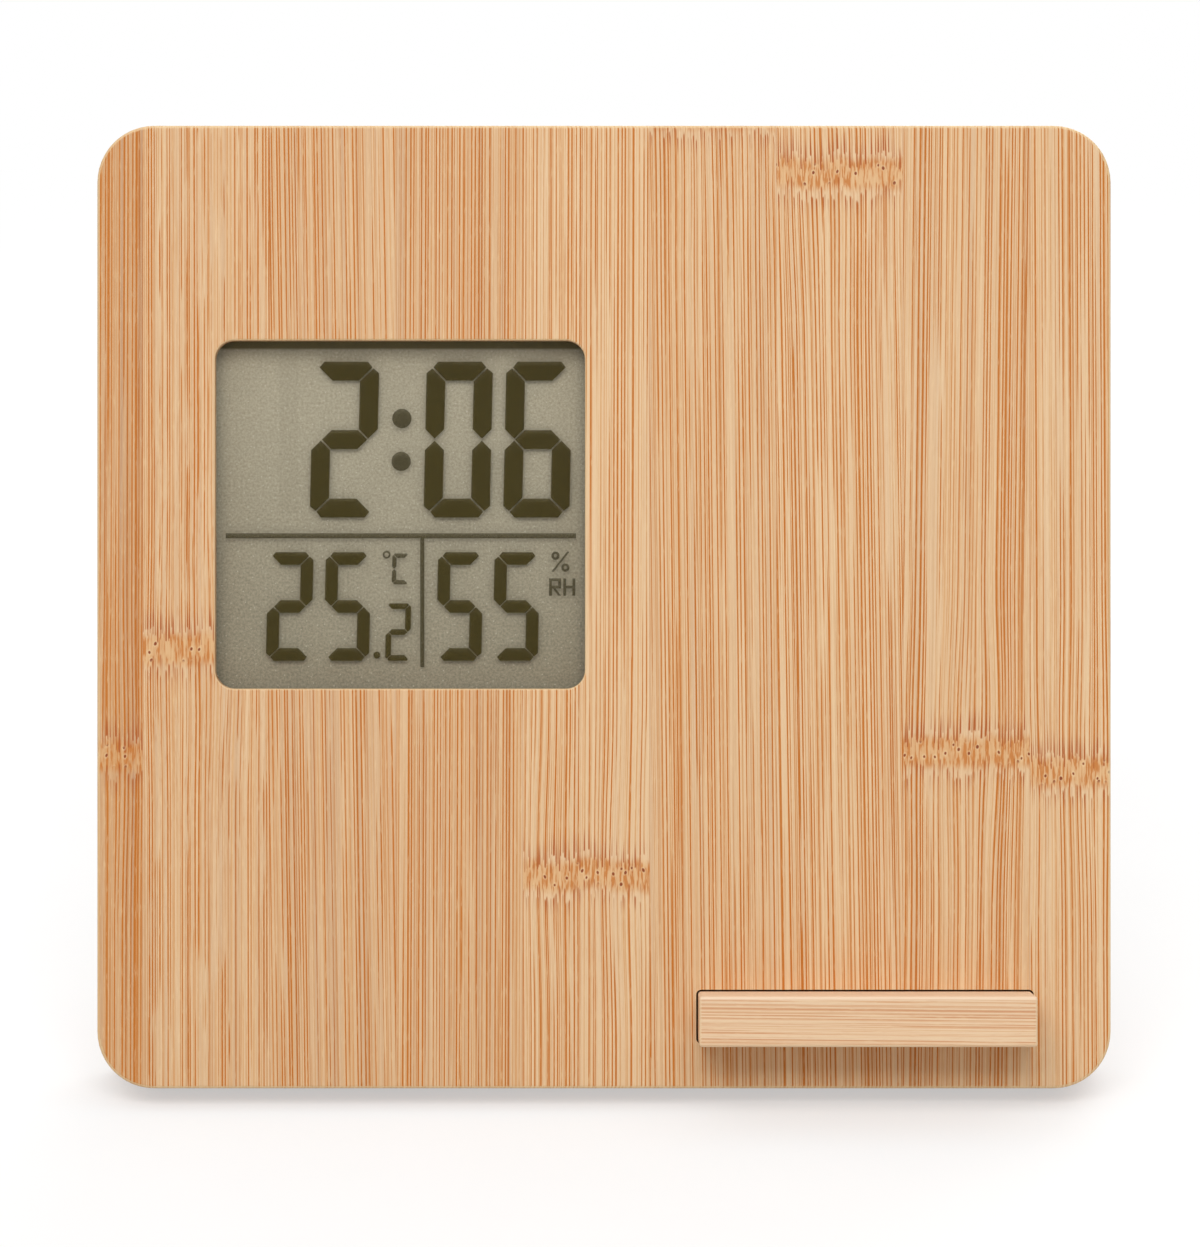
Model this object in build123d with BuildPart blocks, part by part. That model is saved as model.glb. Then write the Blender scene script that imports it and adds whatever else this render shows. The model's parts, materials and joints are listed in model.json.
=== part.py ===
from build123d import *
import os
from math import cos, radians, sin, tan

# A bamboo desk clock with a segment display, a plug-in phone ledge and a fold-out stand.
# Millimetres, +Z up, the face towards -Y. The clock stands on the desk, leaning back.
# Places on the panel are given as u to the right, v up from its bottom edge and w back from its face.

# Stance, in degrees
LEAN = 18.0
STAND_ANGLE = 33.0

# Bamboo body, seen on its face
BODY_W = 160.0
BODY_H = 152.0
BODY_CORNER_R = 9.0
BODY_EDGE_R = 0.6
FRONT_WALL = 3.5
FACET_RUN = 8.5

# Display window, set out from the body's left and top edges
WINDOW_W = 58.4
WINDOW_H = 55.0
WINDOW_SIDE = 18.6
WINDOW_TOP = 33.9
WINDOW_CORNER_R = 3.0
WINDOW_EDGE_R = 0.35

# Phone ledge, set out from the body's right and bottom edges
LEDGE_W = 52.7
LEDGE_T = 7.9
LEDGE_OUT = 13.0
LEDGE_IN = 12.0
LEDGE_SIDE = 12.45
LEDGE_BOTTOM = 7.4
LEDGE_EDGE_R = 0.5
SLOT_CLEARANCE = 0.3
SLOT_END_GAP = 0.3
SLOT_CORNER_R = 0.8

# Display stack, from the front wall to the rear
GLASS_T = 0.8
GLASS_MARGIN = 2.0
GLASS_CONTACT_EDGE = 5.0
REAR_GLASS_STEP = 3.0
SEGMENT_T = 0.08
CRYSTAL_GAP = 0.02
FOIL_GAP = 0.05
REFLECTOR_T = 0.2
GLASS_CLEARANCE = 0.15
FRAME_RIM = 3.0
FRAME_T = 3.9
FRAME_CORNER_R = 1.5
ZEBRA_T = 2.2
ZEBRA_INSET = 4.0

# Digits and signs, set out from the window's centre; gaps and corner cuts are shares of a stroke
DIGIT_SLANT = 1.25
MITRE_GAP = 0.055
CORNER_CUT = 0.6
TIME_W = 10.5
TIME_H = 24.7
TIME_STROKE = 3.0
TIME_BASE = -0.4
HOUR_X = -14.45
MINUTE_X = (3.58, 16.2)
COLON_R = 1.53
COLON_SPOTS = ((0.16, 15.3), (0.05, 8.5))
RULE_Y = -3.3
RULE_T = 0.8
RULE_MARGIN = 1.45
DIVIDER_X = 3.4
DIVIDER_T = 0.65
DIVIDER_FOOT = 3.4
LOWER_W = 7.2
LOWER_H = 17.2
LOWER_STROKE = 2.0
LOWER_BASE = -23.1
DEGREES_X = (-21.4, -12.25)
HUMIDITY_X = (5.55, 14.5)
POINT_R = 0.55
POINT_SPOT = (-3.8, -22.2)
TENTHS_X = -2.5
TENTHS_W = 3.95
TENTHS_H = 9.1
TENTHS_STROKE = 0.9
RING_R = 0.62
RING_STROKE = 0.28
RING_SPOT = (-2.25, -6.3)
CELSIUS_X = -1.45
CELSIUS_BASE = -11.0
CELSIUS_W = 2.7
CELSIUS_H = 4.9
CELSIUS_STROKE = 0.7
PERCENT_SPOT = (25.3, -7.4)
PERCENT_W = 2.9
PERCENT_H = 3.2
PERCENT_STROKE = 0.4
PERCENT_RING_R = 0.66
HUMID_X = (23.5, 25.75)
HUMID_BASE = -12.8
HUMID_W = 1.9
HUMID_H = 2.75
HUMID_STROKE = 0.45

# Circuit board and what it carries, set out from the window's centre
BOARD_T = 1.2
BOARD_SCREW_R = 0.8
BOARD_SCREW_BITE = 3.0
BOARD_HEAD_R = 1.5
BOARD_HEAD_T = 1.0
BLOB_R = 6.0
BLOB_T = 1.8
BLOB_ROUNDNESS = 0.9
BLOB_SPOT = (2.0, -1.0)
CRYSTAL_R = 1.0
CRYSTAL_LEN = 6.0
CRYSTAL_SPOT = (2.0, -12.0)
SENSOR_W = 3.0
SENSOR_T = 1.1
SENSOR_SPOT = (0.0, -22.0)
BUZZER_R = 6.0
BUZZER_T = 5.0
BUZZER_PORT_R = 1.0
BUZZER_PORT_DEPTH = 2.0
BUZZER_SPOT = (-4.0, 20.0)
SWITCH_W = 6.0
SWITCH_T = 3.5
PLUNGER_R = 1.7
PLUNGER_T = 1.0

# Buttons
BUTTON_R = 3.5
BUTTON_PROUD = 0.8
BUTTON_EDGE_R = 0.5
BUTTON_PITCH = 12.0
BUTTON_SPOT = (-17.8, -2.6)
BUTTON_CLEARANCE = 0.1
BUTTON_FLANGE_R = 4.6
BUTTON_FLANGE_T = 1.0
BUTTON_STEM_R = 1.5
BUTTON_TRAVEL = 0.6
BUTTON_REST_GAP = 0.1
BUTTON_COUNT = 4

# Cells and their bay, set out from the body's right and top edges
CELL_D = 10.5
CELL_LEN = 44.5
CELL_EDGE_R = 0.5
NUB_R = 1.9
NUB_T = 1.0
CELL_GAP = 0.3
BAY_SIDE = 16.5
BAY_TOP = 40.0
BAY_WALL = 1.5
BAY_END_WALL = 2.0
BAY_FLOOR = 1.2
BAY_FLOOR_GAP = 0.4
CONTACT_T = 0.5
CONTACT_W = 8.0
LEAF_T = 0.4
LEAF_BOW = 3.5
LEAF_HALF = 3.6
LEAF_W = 6.0
BLADE_W = 3.0
BLADE_CLEARANCE = 0.1
BLADE_OUT_POSITIVE = 2.6
BLADE_OUT_NEGATIVE = 5.6
LEAD_R = 0.7
LEAD_BEND_R = 1.4
LEAD_LANDING = 9.0

# Rear cover and its screws
COVER_T = 2.0
COVER_LEDGE = 6.0
COVER_GAP = 0.2
COVER_CORNER_R = 3.0
POCKET_GAP = 2.6
POCKET_CORNER_R = 3.0
SCREW_R = 1.1
SCREW_HEAD_R = 2.3
SCREW_HEAD_ANGLE = 90.0
SCREW_BITE = 6.0
SCREW_CLEARANCE = 0.02
SCREW_END_GAP = 0.5
CROSS_W = 0.6
CROSS_LEN = 2.6
CROSS_DEPTH = 0.7
VENT_LEN = 14.0
VENT_W = 1.6
VENT_PITCH = 3.6
VENT_COUNT = 5
SOUND_HOLE_R = 0.7
SOUND_RING_R = 3.2
SOUND_COUNT = 6

# Battery door
DOOR_SEAT_GAP = 0.2
DOOR_GAP = 0.3
DOOR_LAND = 1.0
DOOR_BARREL_R = 1.6
DOOR_STUB_R = 0.8
DOOR_STUB_LEN = 1.2
STUB_CLEARANCE = 0.05
STUB_END_GAP = 0.2
THUMB_R = 5.0
THUMB_DEPTH = 0.9

# Kickstand, hinged a set distance below the body's top edge
HINGE_TOP = 48.0
HINGE_OUT = 3.5
PIN_R = 1.5
PIN_SEAT = 0.02
PIN_CLEARANCE = 0.05
PIN_DOME = 0.4
BARREL_R = 3.2
EAR_R = 3.5
EAR_T = 3.5
EAR_GAP = 0.3
STAND_W = 40.0
LEG_T = 3.0
LEG_BACK_GAP = 0.4
LEG_EDGE_R = 0.8
HEEL_LEN = 5.0
HEEL_T = 4.5
HEEL_GAP = 0.05
PANEL_MARGIN = 6.0
PANEL_TOP = 9.0
PANEL_FOOT = 12.0
PANEL_DEPTH = 0.8
PANEL_CORNER_R = 3.0
FOOT_PAD_T = 1.4

# Pads under the resting facet
BASE_PAD_T = 0.8
BASE_PAD_W = 34.0
BASE_PAD_MARGIN = 1.2
BASE_PAD_SIDE = 16.0

# Depths behind the face: the cells and what covers them set the body's thickness
DOOR_T = COVER_T - DOOR_SEAT_GAP
BAY_FLOOR_FRONT = FRONT_WALL + BAY_FLOOR_GAP
BAY_INSIDE_FRONT = BAY_FLOOR_FRONT + BAY_FLOOR
CELL_R = CELL_D / 2
CELL_DEPTH = BAY_INSIDE_FRONT + CELL_GAP + CELL_R
BODY_T = CELL_DEPTH + CELL_R + CELL_GAP + DOOR_T
COVER_FRONT = BODY_T - COVER_T
GLASS_REAR = FRONT_WALL + GLASS_T
SEGMENT_FRONT = GLASS_REAR + CRYSTAL_GAP
REAR_GLASS_FRONT = SEGMENT_FRONT + SEGMENT_T + CRYSTAL_GAP
REFLECTOR_FRONT = REAR_GLASS_FRONT + GLASS_T + FOIL_GAP
BOARD_FRONT = FRONT_WALL + FRAME_T
BOARD_REAR = BOARD_FRONT + BOARD_T
PLUNGER_REAR = BOARD_REAR + SWITCH_T + PLUNGER_T
HINGE_W = BODY_T + HINGE_OUT
DOOR_HINGE_W = BODY_T - DOOR_BARREL_R

# Places on the panel
WINDOW_U = -BODY_W / 2 + WINDOW_SIDE + WINDOW_W / 2
WINDOW_V = BODY_H - WINDOW_TOP - WINDOW_H / 2
LEDGE_U = BODY_W / 2 - LEDGE_SIDE - LEDGE_W / 2
LEDGE_V = LEDGE_BOTTOM + LEDGE_T / 2
GLASS_W = WINDOW_W + 2 * GLASS_MARGIN
GLASS_H = WINDOW_H + GLASS_MARGIN + GLASS_CONTACT_EDGE
GLASS_V = WINDOW_V + (GLASS_MARGIN - GLASS_CONTACT_EDGE) / 2
REAR_GLASS_H = GLASS_H - REAR_GLASS_STEP
REAR_GLASS_V = GLASS_V + REAR_GLASS_STEP / 2
FRAME_W = GLASS_W + 2 * FRAME_RIM
FRAME_H = GLASS_H + 2 * FRAME_RIM
BAY_RIGHT = BODY_W / 2 - BAY_SIDE - BAY_WALL
BAY_INSIDE_W = 2 * CELL_D + 3 * CELL_GAP + 2 * DOOR_BARREL_R + DOOR_GAP
BAY_LEFT = BAY_RIGHT - BAY_INSIDE_W
BAY_INSIDE_TOP = BODY_H - BAY_TOP - BAY_END_WALL
BAY_INSIDE_LEN = 2 * CONTACT_T + CELL_LEN + LEAF_BOW
BAY_INSIDE_BOTTOM = BAY_INSIDE_TOP - BAY_INSIDE_LEN
BAY_U = (BAY_LEFT + BAY_RIGHT) / 2
BAY_V = (BAY_INSIDE_TOP + BAY_INSIDE_BOTTOM) / 2
CELL_LEFT_U = BAY_LEFT + CELL_GAP + CELL_R
CELL_RIGHT_U = CELL_LEFT_U + CELL_D + CELL_GAP
DOOR_HINGE_U = BAY_RIGHT - DOOR_GAP - DOOR_BARREL_R
DOOR_FREE_U = BAY_LEFT - DOOR_LAND + DOOR_GAP
DOOR_LEN = BAY_INSIDE_LEN - 2 * DOOR_GAP
HINGE_V = BODY_H - HINGE_TOP

# The pocket takes the display and the bay, and the cover takes the pocket and its ledge
POCKET_HALF = max(FRAME_W / 2 - WINDOW_U, BAY_RIGHT + BAY_WALL) + POCKET_GAP
POCKET_LOW = min(GLASS_V - FRAME_H / 2, BAY_INSIDE_BOTTOM - BAY_END_WALL) - POCKET_GAP
POCKET_HIGH = max(GLASS_V + FRAME_H / 2, BAY_INSIDE_TOP + BAY_END_WALL + BLADE_OUT_NEGATIVE) + POCKET_GAP
POCKET_W = 2 * POCKET_HALF
POCKET_H = POCKET_HIGH - POCKET_LOW
POCKET_V = (POCKET_HIGH + POCKET_LOW) / 2
REBATE_W = POCKET_W + 2 * COVER_LEDGE
REBATE_H = POCKET_H + 2 * COVER_LEDGE
SCREW_SPACING_U = (POCKET_W + COVER_LEDGE) / 2
SCREW_SPACING_V = POCKET_H + COVER_LEDGE

# The leaning panel in space: its foot on the desk, its face normal and its way up
lean = radians(LEAN)
leg_lean = radians(STAND_ANGLE - LEAN)
normal = Vector(0, -cos(lean), sin(lean))
up = Vector(0, sin(lean), cos(lean))
leg_rear = Vector(0, cos(leg_lean), sin(leg_lean))
leg_up = Vector(0, -sin(leg_lean), cos(leg_lean))

face_foot_z = BASE_PAD_T + (BODY_T - FACET_RUN) * sin(lean)
hinge_z = face_foot_z + HINGE_V * cos(lean) - HINGE_W * sin(lean)
LEG_INNER = LEG_BACK_GAP - HINGE_OUT
LEG_OUTER = LEG_INNER + LEG_T


def leg_reach(x, height):
    """Distance along the leg, from the hinge, at which a line at x meets a height over the desk."""
    return (height - hinge_z - x * sin(leg_lean)) / cos(leg_lean)


# The frame's Y origin lies midway between the frontmost edge and the rearmost one
edge_round = cos(lean) + sin(lean) - 1
ledge_front = LEDGE_BOTTOM * sin(lean) - LEDGE_OUT * cos(lean) + LEDGE_EDGE_R * edge_round
body_rear = BODY_H * sin(lean) + BODY_T * cos(lean) - BODY_EDGE_R * edge_round
hinge_y = HINGE_V * sin(lean) + HINGE_W * cos(lean)
foot_y = hinge_y + LEG_OUTER * cos(leg_lean) - leg_reach(LEG_OUTER, 0) * sin(leg_lean)
face_foot_y = -(min(ledge_front, 0) + max(body_rear, foot_y)) / 2
face_foot = Vector(0, face_foot_y, face_foot_z)
hinge_point = face_foot + up * HINGE_V - normal * HINGE_W


def face_plane(depth):
    """Plane at a depth behind the face: local x is u, local y is v, and z points to the front."""
    return Plane(origin=face_foot - normal * depth, x_dir=(1, 0, 0), z_dir=normal)


def rear_plane(depth):
    """Plane at a depth behind the face, seen from the rear: local x is -u, local y is v."""
    return Plane(origin=face_foot - normal * depth, x_dir=(-1, 0, 0), z_dir=-normal)


def side_plane(u):
    """Plane across the panel at u: local x is the depth w, local y is v, and z points to +X."""
    return Plane(origin=face_foot + Vector(u, 0, 0), x_dir=-normal, z_dir=(1, 0, 0))


def level_plane(v):
    """Plane square to the panel's height at v: local x is u, local y is the depth w."""
    return Plane(origin=face_foot + up * v, x_dir=(1, 0, 0), z_dir=up)


def leg_plane(u):
    """Plane across the open leg at u, on the hinge axis: local y runs up the leg."""
    return Plane(origin=hinge_point + Vector(u, 0, 0), x_dir=leg_rear, z_dir=(1, 0, 0))


to_front = Axis((0, 0, 0), normal)
BASE_ALIGN = (Align.CENTER, Align.CENTER, Align.MIN)
TOP_ALIGN = (Align.CENTER, Align.CENTER, Align.MAX)


# Bamboo body: a thick rounded panel with its window, rear pocket, rebate, ledge slot and resting facet
with BuildPart() as bamboo_body:
    with BuildSketch(face_plane(0)):
        with Locations((0, BODY_H / 2)):
            RectangleRounded(BODY_W, BODY_H, BODY_CORNER_R)
    extrude(amount=-BODY_T)
    fillet(bamboo_body.faces().sort_by(to_front)[-1].edges(), BODY_EDGE_R)
    fillet(bamboo_body.faces().sort_by(to_front)[0].edges(), BODY_EDGE_R)
    with BuildSketch(face_plane(0)):
        with Locations((WINDOW_U, WINDOW_V)):
            RectangleRounded(WINDOW_W, WINDOW_H, WINDOW_CORNER_R)
    extrude(amount=-FRONT_WALL, mode=Mode.SUBTRACT)
    fillet(bamboo_body.faces().sort_by(to_front)[-1].inner_wires()[0].edges(), WINDOW_EDGE_R)
    with BuildSketch(face_plane(FRONT_WALL)):
        with Locations((0, POCKET_V)):
            RectangleRounded(POCKET_W, POCKET_H, POCKET_CORNER_R)
    extrude(amount=FRONT_WALL - BODY_T, mode=Mode.SUBTRACT)
    with BuildSketch(face_plane(COVER_FRONT)):
        with Locations((0, POCKET_V)):
            RectangleRounded(REBATE_W, REBATE_H, COVER_CORNER_R)
    extrude(amount=-COVER_T, mode=Mode.SUBTRACT)
    with BuildSketch(face_plane(0)):
        with Locations((LEDGE_U, LEDGE_V)):
            RectangleRounded(LEDGE_W + 2 * SLOT_CLEARANCE, LEDGE_T + 2 * SLOT_CLEARANCE, SLOT_CORNER_R)
    extrude(amount=-LEDGE_IN - SLOT_END_GAP, mode=Mode.SUBTRACT)
    with BuildSketch(face_plane(COVER_FRONT)):
        with Locations((0, POCKET_V)):
            with GridLocations(SCREW_SPACING_U, SCREW_SPACING_V, 3, 2):
                Circle(SCREW_R + SCREW_CLEARANCE)
    extrude(amount=SCREW_BITE + SCREW_END_GAP, mode=Mode.SUBTRACT)
    split(bisect_by=Plane.XY.offset(BASE_PAD_T), keep=Keep.TOP)

# Phone ledge: a plain bar with eased edges, half of it in its slot
with BuildPart() as ledge_bar:
    with BuildSketch(face_plane(-LEDGE_OUT)):
        with Locations((LEDGE_U, LEDGE_V)):
            Rectangle(LEDGE_W, LEDGE_T)
    extrude(amount=-LEDGE_OUT - LEDGE_IN)
    fillet(ledge_bar.edges(), LEDGE_EDGE_R)

# Pads: two thin strips under the resting facet
facet_rear_y = face_foot_y + FACET_RUN * tan(lean) * sin(lean) + BODY_T * cos(lean)
facet_front_y = face_foot_y + (BODY_T - FACET_RUN) * cos(lean)
BASE_PAD_U = BODY_W / 2 - BASE_PAD_SIDE - BASE_PAD_W / 2
BASE_PAD_Y = (facet_front_y + facet_rear_y) / 2
BASE_PAD_DEPTH = facet_rear_y - facet_front_y - 2 * BASE_PAD_MARGIN
with BuildPart() as base_pads:
    with BuildSketch():
        with Locations((-BASE_PAD_U, BASE_PAD_Y), (BASE_PAD_U, BASE_PAD_Y)):
            SlotOverall(BASE_PAD_W, BASE_PAD_DEPTH)
    extrude(amount=BASE_PAD_T)


# Display: two panes with the segments between them, a reflector, a holder and the rubber connector
with BuildPart() as lcd_front_glass:
    with BuildSketch(face_plane(FRONT_WALL)):
        with Locations((WINDOW_U, GLASS_V)):
            Rectangle(GLASS_W, GLASS_H)
    extrude(amount=-GLASS_T)

with BuildPart() as lcd_rear_glass:
    with BuildSketch(face_plane(REAR_GLASS_FRONT)):
        with Locations((WINDOW_U, REAR_GLASS_V)):
            Rectangle(GLASS_W, REAR_GLASS_H)
    extrude(amount=-GLASS_T)

with BuildPart() as lcd_reflector:
    with BuildSketch(face_plane(REFLECTOR_FRONT)):
        with Locations((WINDOW_U, REAR_GLASS_V)):
            Rectangle(GLASS_W, REAR_GLASS_H)
    extrude(amount=-REFLECTOR_T)

with BuildPart() as lcd_frame:
    with BuildSketch(face_plane(FRONT_WALL)):
        with Locations((WINDOW_U, GLASS_V)):
            RectangleRounded(FRAME_W, FRAME_H, FRAME_CORNER_R)
            Rectangle(GLASS_W + 2 * GLASS_CLEARANCE, GLASS_H + 2 * GLASS_CLEARANCE, mode=Mode.SUBTRACT)
            with GridLocations(FRAME_W - FRAME_RIM, FRAME_H - FRAME_RIM, 2, 2):
                Circle(BOARD_SCREW_R + SCREW_CLEARANCE, mode=Mode.SUBTRACT)
    extrude(amount=-FRAME_T)

with BuildPart() as zebra_strip:
    with BuildSketch(face_plane(GLASS_REAR)):
        with Locations((WINDOW_U, GLASS_V - GLASS_H / 2 + REAR_GLASS_STEP / 2)):
            Rectangle(GLASS_W - 2 * ZEBRA_INSET, ZEBRA_T)
    extrude(amount=GLASS_T - FRAME_T)


def segment_outlines(width, height, stroke):
    """Outlines of the seven mitred segments of a digit that stands on y = 0, by their usual letters."""
    gap = MITRE_GAP * stroke
    cut = CORNER_CUT * stroke
    half = stroke / 2
    middle = height / 2
    shoulder = middle + half + gap
    top = ((cut / 2 + gap, height - cut / 2), (cut, height), (width - cut, height),
           (width - cut / 2 - gap, height - cut / 2), (width - stroke - gap, height - stroke),
           (stroke + gap, height - stroke))
    upper_left = ((0, height - cut), (cut / 2, height - cut / 2 - gap), (stroke, height - stroke - gap),
                  (stroke, shoulder), (half, middle + gap), (0, shoulder))
    bar = ((half + gap, middle), (stroke + gap, middle + half), (width - stroke - gap, middle + half),
           (width - half - gap, middle), (width - stroke - gap, middle - half), (stroke + gap, middle - half))
    upper_right = [(width - x, y) for x, y in upper_left]
    return {
        "a": top,
        "b": upper_right,
        "c": [(x, height - y) for x, y in upper_right],
        "d": [(x, height - y) for x, y in top],
        "e": [(x, height - y) for x, y in upper_left],
        "f": upper_left,
        "g": bar,
    }


LIT_SEGMENTS = {"0": "abcdef", "2": "abged", "5": "afgcd", "6": "afgedc", "C": "afed"}


def draw_digit(digit, left, base, width, height, stroke):
    """Draw one slanted digit into the sketch, each segment a face of its own."""
    outlines = segment_outlines(width, height, stroke)
    for letter in LIT_SEGMENTS[digit]:
        points = [(left + x + y * tan(radians(DIGIT_SLANT)), base + y) for x, y in outlines[letter]]
        Polygon(*points, align=None)


def draw_letter_h(left, base):
    """Draw a plain H of straight bars into the sketch."""
    with Locations((left, base), (left + HUMID_W - HUMID_STROKE, base)):
        Rectangle(HUMID_STROKE, HUMID_H, align=(Align.MIN, Align.MIN))
    with Locations((left, base + HUMID_H / 2)):
        Rectangle(HUMID_W, HUMID_STROKE, align=(Align.MIN, Align.CENTER))


def draw_letter_r(left, base):
    """Draw a plain R of straight bars into the sketch."""
    middle = base + HUMID_H / 2
    with Locations((left, base)):
        Rectangle(HUMID_STROKE, HUMID_H, align=(Align.MIN, Align.MIN))
    with Locations((left, base + HUMID_H)):
        Rectangle(HUMID_W, HUMID_STROKE, align=(Align.MIN, Align.MAX))
    with Locations((left, middle)):
        Rectangle(HUMID_W, HUMID_STROKE, align=(Align.MIN, Align.CENTER))
    with Locations((left + HUMID_W, middle)):
        Rectangle(HUMID_STROKE, HUMID_H / 2, align=(Align.MAX, Align.MIN))
    Polygon((left + HUMID_STROKE, middle), (left + 2 * HUMID_STROKE, middle), (left + HUMID_W, base),
            (left + HUMID_W - HUMID_STROKE, base), align=None)


# Segments: the time over a rule, the temperature and the humidity under it, with their unit signs
with BuildPart() as lcd_segments:
    with BuildSketch(face_plane(SEGMENT_FRONT)):
        with Locations((WINDOW_U, WINDOW_V)):
            draw_digit("2", HOUR_X, TIME_BASE, TIME_W, TIME_H, TIME_STROKE)
            draw_digit("0", MINUTE_X[0], TIME_BASE, TIME_W, TIME_H, TIME_STROKE)
            draw_digit("6", MINUTE_X[1], TIME_BASE, TIME_W, TIME_H, TIME_STROKE)
            draw_digit("2", DEGREES_X[0], LOWER_BASE, LOWER_W, LOWER_H, LOWER_STROKE)
            draw_digit("5", DEGREES_X[1], LOWER_BASE, LOWER_W, LOWER_H, LOWER_STROKE)
            draw_digit("2", TENTHS_X, LOWER_BASE, TENTHS_W, TENTHS_H, TENTHS_STROKE)
            draw_digit("C", CELSIUS_X, CELSIUS_BASE, CELSIUS_W, CELSIUS_H, CELSIUS_STROKE)
            for left in HUMIDITY_X:
                draw_digit("5", left, LOWER_BASE, LOWER_W, LOWER_H, LOWER_STROKE)
            with Locations(*COLON_SPOTS):
                Circle(COLON_R)
            with Locations(POINT_SPOT):
                Circle(POINT_R)
            with Locations(RING_SPOT):
                Circle(RING_R)
                Circle(RING_R - RING_STROKE, mode=Mode.SUBTRACT)
            with Locations((0, RULE_Y)):
                Rectangle(WINDOW_W - 2 * RULE_MARGIN, RULE_T)
            with Locations((DIVIDER_X, RULE_Y)):
                Rectangle(DIVIDER_T, RULE_Y + WINDOW_H / 2 - DIVIDER_FOOT, align=(Align.CENTER, Align.MAX))
            with Locations(PERCENT_SPOT):
                Polygon((-PERCENT_W / 2, -PERCENT_H / 2), (PERCENT_STROKE - PERCENT_W / 2, -PERCENT_H / 2),
                        (PERCENT_W / 2, PERCENT_H / 2), (PERCENT_W / 2 - PERCENT_STROKE, PERCENT_H / 2),
                        align=None)
                ring_x = PERCENT_W / 2 - PERCENT_RING_R
                ring_y = PERCENT_H / 2 - PERCENT_RING_R
                with Locations((-ring_x, ring_y), (ring_x, -ring_y)):
                    Circle(PERCENT_RING_R)
                    Circle(PERCENT_RING_R - PERCENT_STROKE, mode=Mode.SUBTRACT)
            draw_letter_r(HUMID_X[0], HUMID_BASE)
            draw_letter_h(HUMID_X[1], HUMID_BASE)
    extrude(amount=-SEGMENT_T)

# Circuit board with its screws, chip, crystal, sensor, sounder and switches
with BuildPart() as main_board:
    with BuildSketch(face_plane(BOARD_FRONT)):
        with Locations((WINDOW_U, GLASS_V)):
            RectangleRounded(FRAME_W, FRAME_H, FRAME_CORNER_R)
            with GridLocations(FRAME_W - FRAME_RIM, FRAME_H - FRAME_RIM, 2, 2):
                Circle(BOARD_SCREW_R + SCREW_CLEARANCE, mode=Mode.SUBTRACT)
    extrude(amount=-BOARD_T)

with BuildPart(rear_plane(BOARD_REAR)) as board_screws:
    with Locations((-WINDOW_U, GLASS_V)):
        with GridLocations(FRAME_W - FRAME_RIM, FRAME_H - FRAME_RIM, 2, 2):
            Cylinder(BOARD_HEAD_R, BOARD_HEAD_T, align=BASE_ALIGN)
            Cylinder(BOARD_SCREW_R, BOARD_T + BOARD_SCREW_BITE, align=TOP_ALIGN)
            with Locations((0, 0, BOARD_HEAD_T)):
                Box(BOARD_HEAD_R, CROSS_W, BOARD_HEAD_T, mode=Mode.SUBTRACT)
                Box(CROSS_W, BOARD_HEAD_R, BOARD_HEAD_T, mode=Mode.SUBTRACT)


def on_board(spot):
    """Place on the board's rear, seen from the rear, for a spot set out from the window's centre."""
    return (-WINDOW_U - spot[0], WINDOW_V + spot[1])


with BuildPart(rear_plane(BOARD_REAR)) as controller_blob:
    with Locations(on_board(BLOB_SPOT)):
        Cylinder(BLOB_R, BLOB_T, align=BASE_ALIGN)
    fillet(controller_blob.edges().sort_by(to_front)[0], BLOB_T * BLOB_ROUNDNESS)

with BuildPart(rear_plane(BOARD_REAR)) as quartz_crystal:
    with Locations((*on_board(CRYSTAL_SPOT), CRYSTAL_R)):
        Cylinder(CRYSTAL_R, CRYSTAL_LEN, rotation=(0, 90, 0))

with BuildPart(rear_plane(BOARD_REAR)) as climate_sensor:
    with Locations(on_board(SENSOR_SPOT)):
        Box(SENSOR_W, SENSOR_W, SENSOR_T, align=BASE_ALIGN)

with BuildPart(rear_plane(BOARD_REAR)) as buzzer:
    with Locations(on_board(BUZZER_SPOT)):
        Cylinder(BUZZER_R, BUZZER_T, align=BASE_ALIGN)
        with Locations((0, 0, BUZZER_T)):
            Cylinder(BUZZER_PORT_R, BUZZER_PORT_DEPTH, align=TOP_ALIGN, mode=Mode.SUBTRACT)

with BuildPart(rear_plane(BOARD_REAR)) as tact_switches:
    with Locations(on_board(BUTTON_SPOT)):
        with GridLocations(0, BUTTON_PITCH, 1, BUTTON_COUNT):
            Box(SWITCH_W, SWITCH_W, SWITCH_T, align=BASE_ALIGN)
            Cylinder(PLUNGER_R, SWITCH_T + PLUNGER_T, align=BASE_ALIGN)

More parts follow.
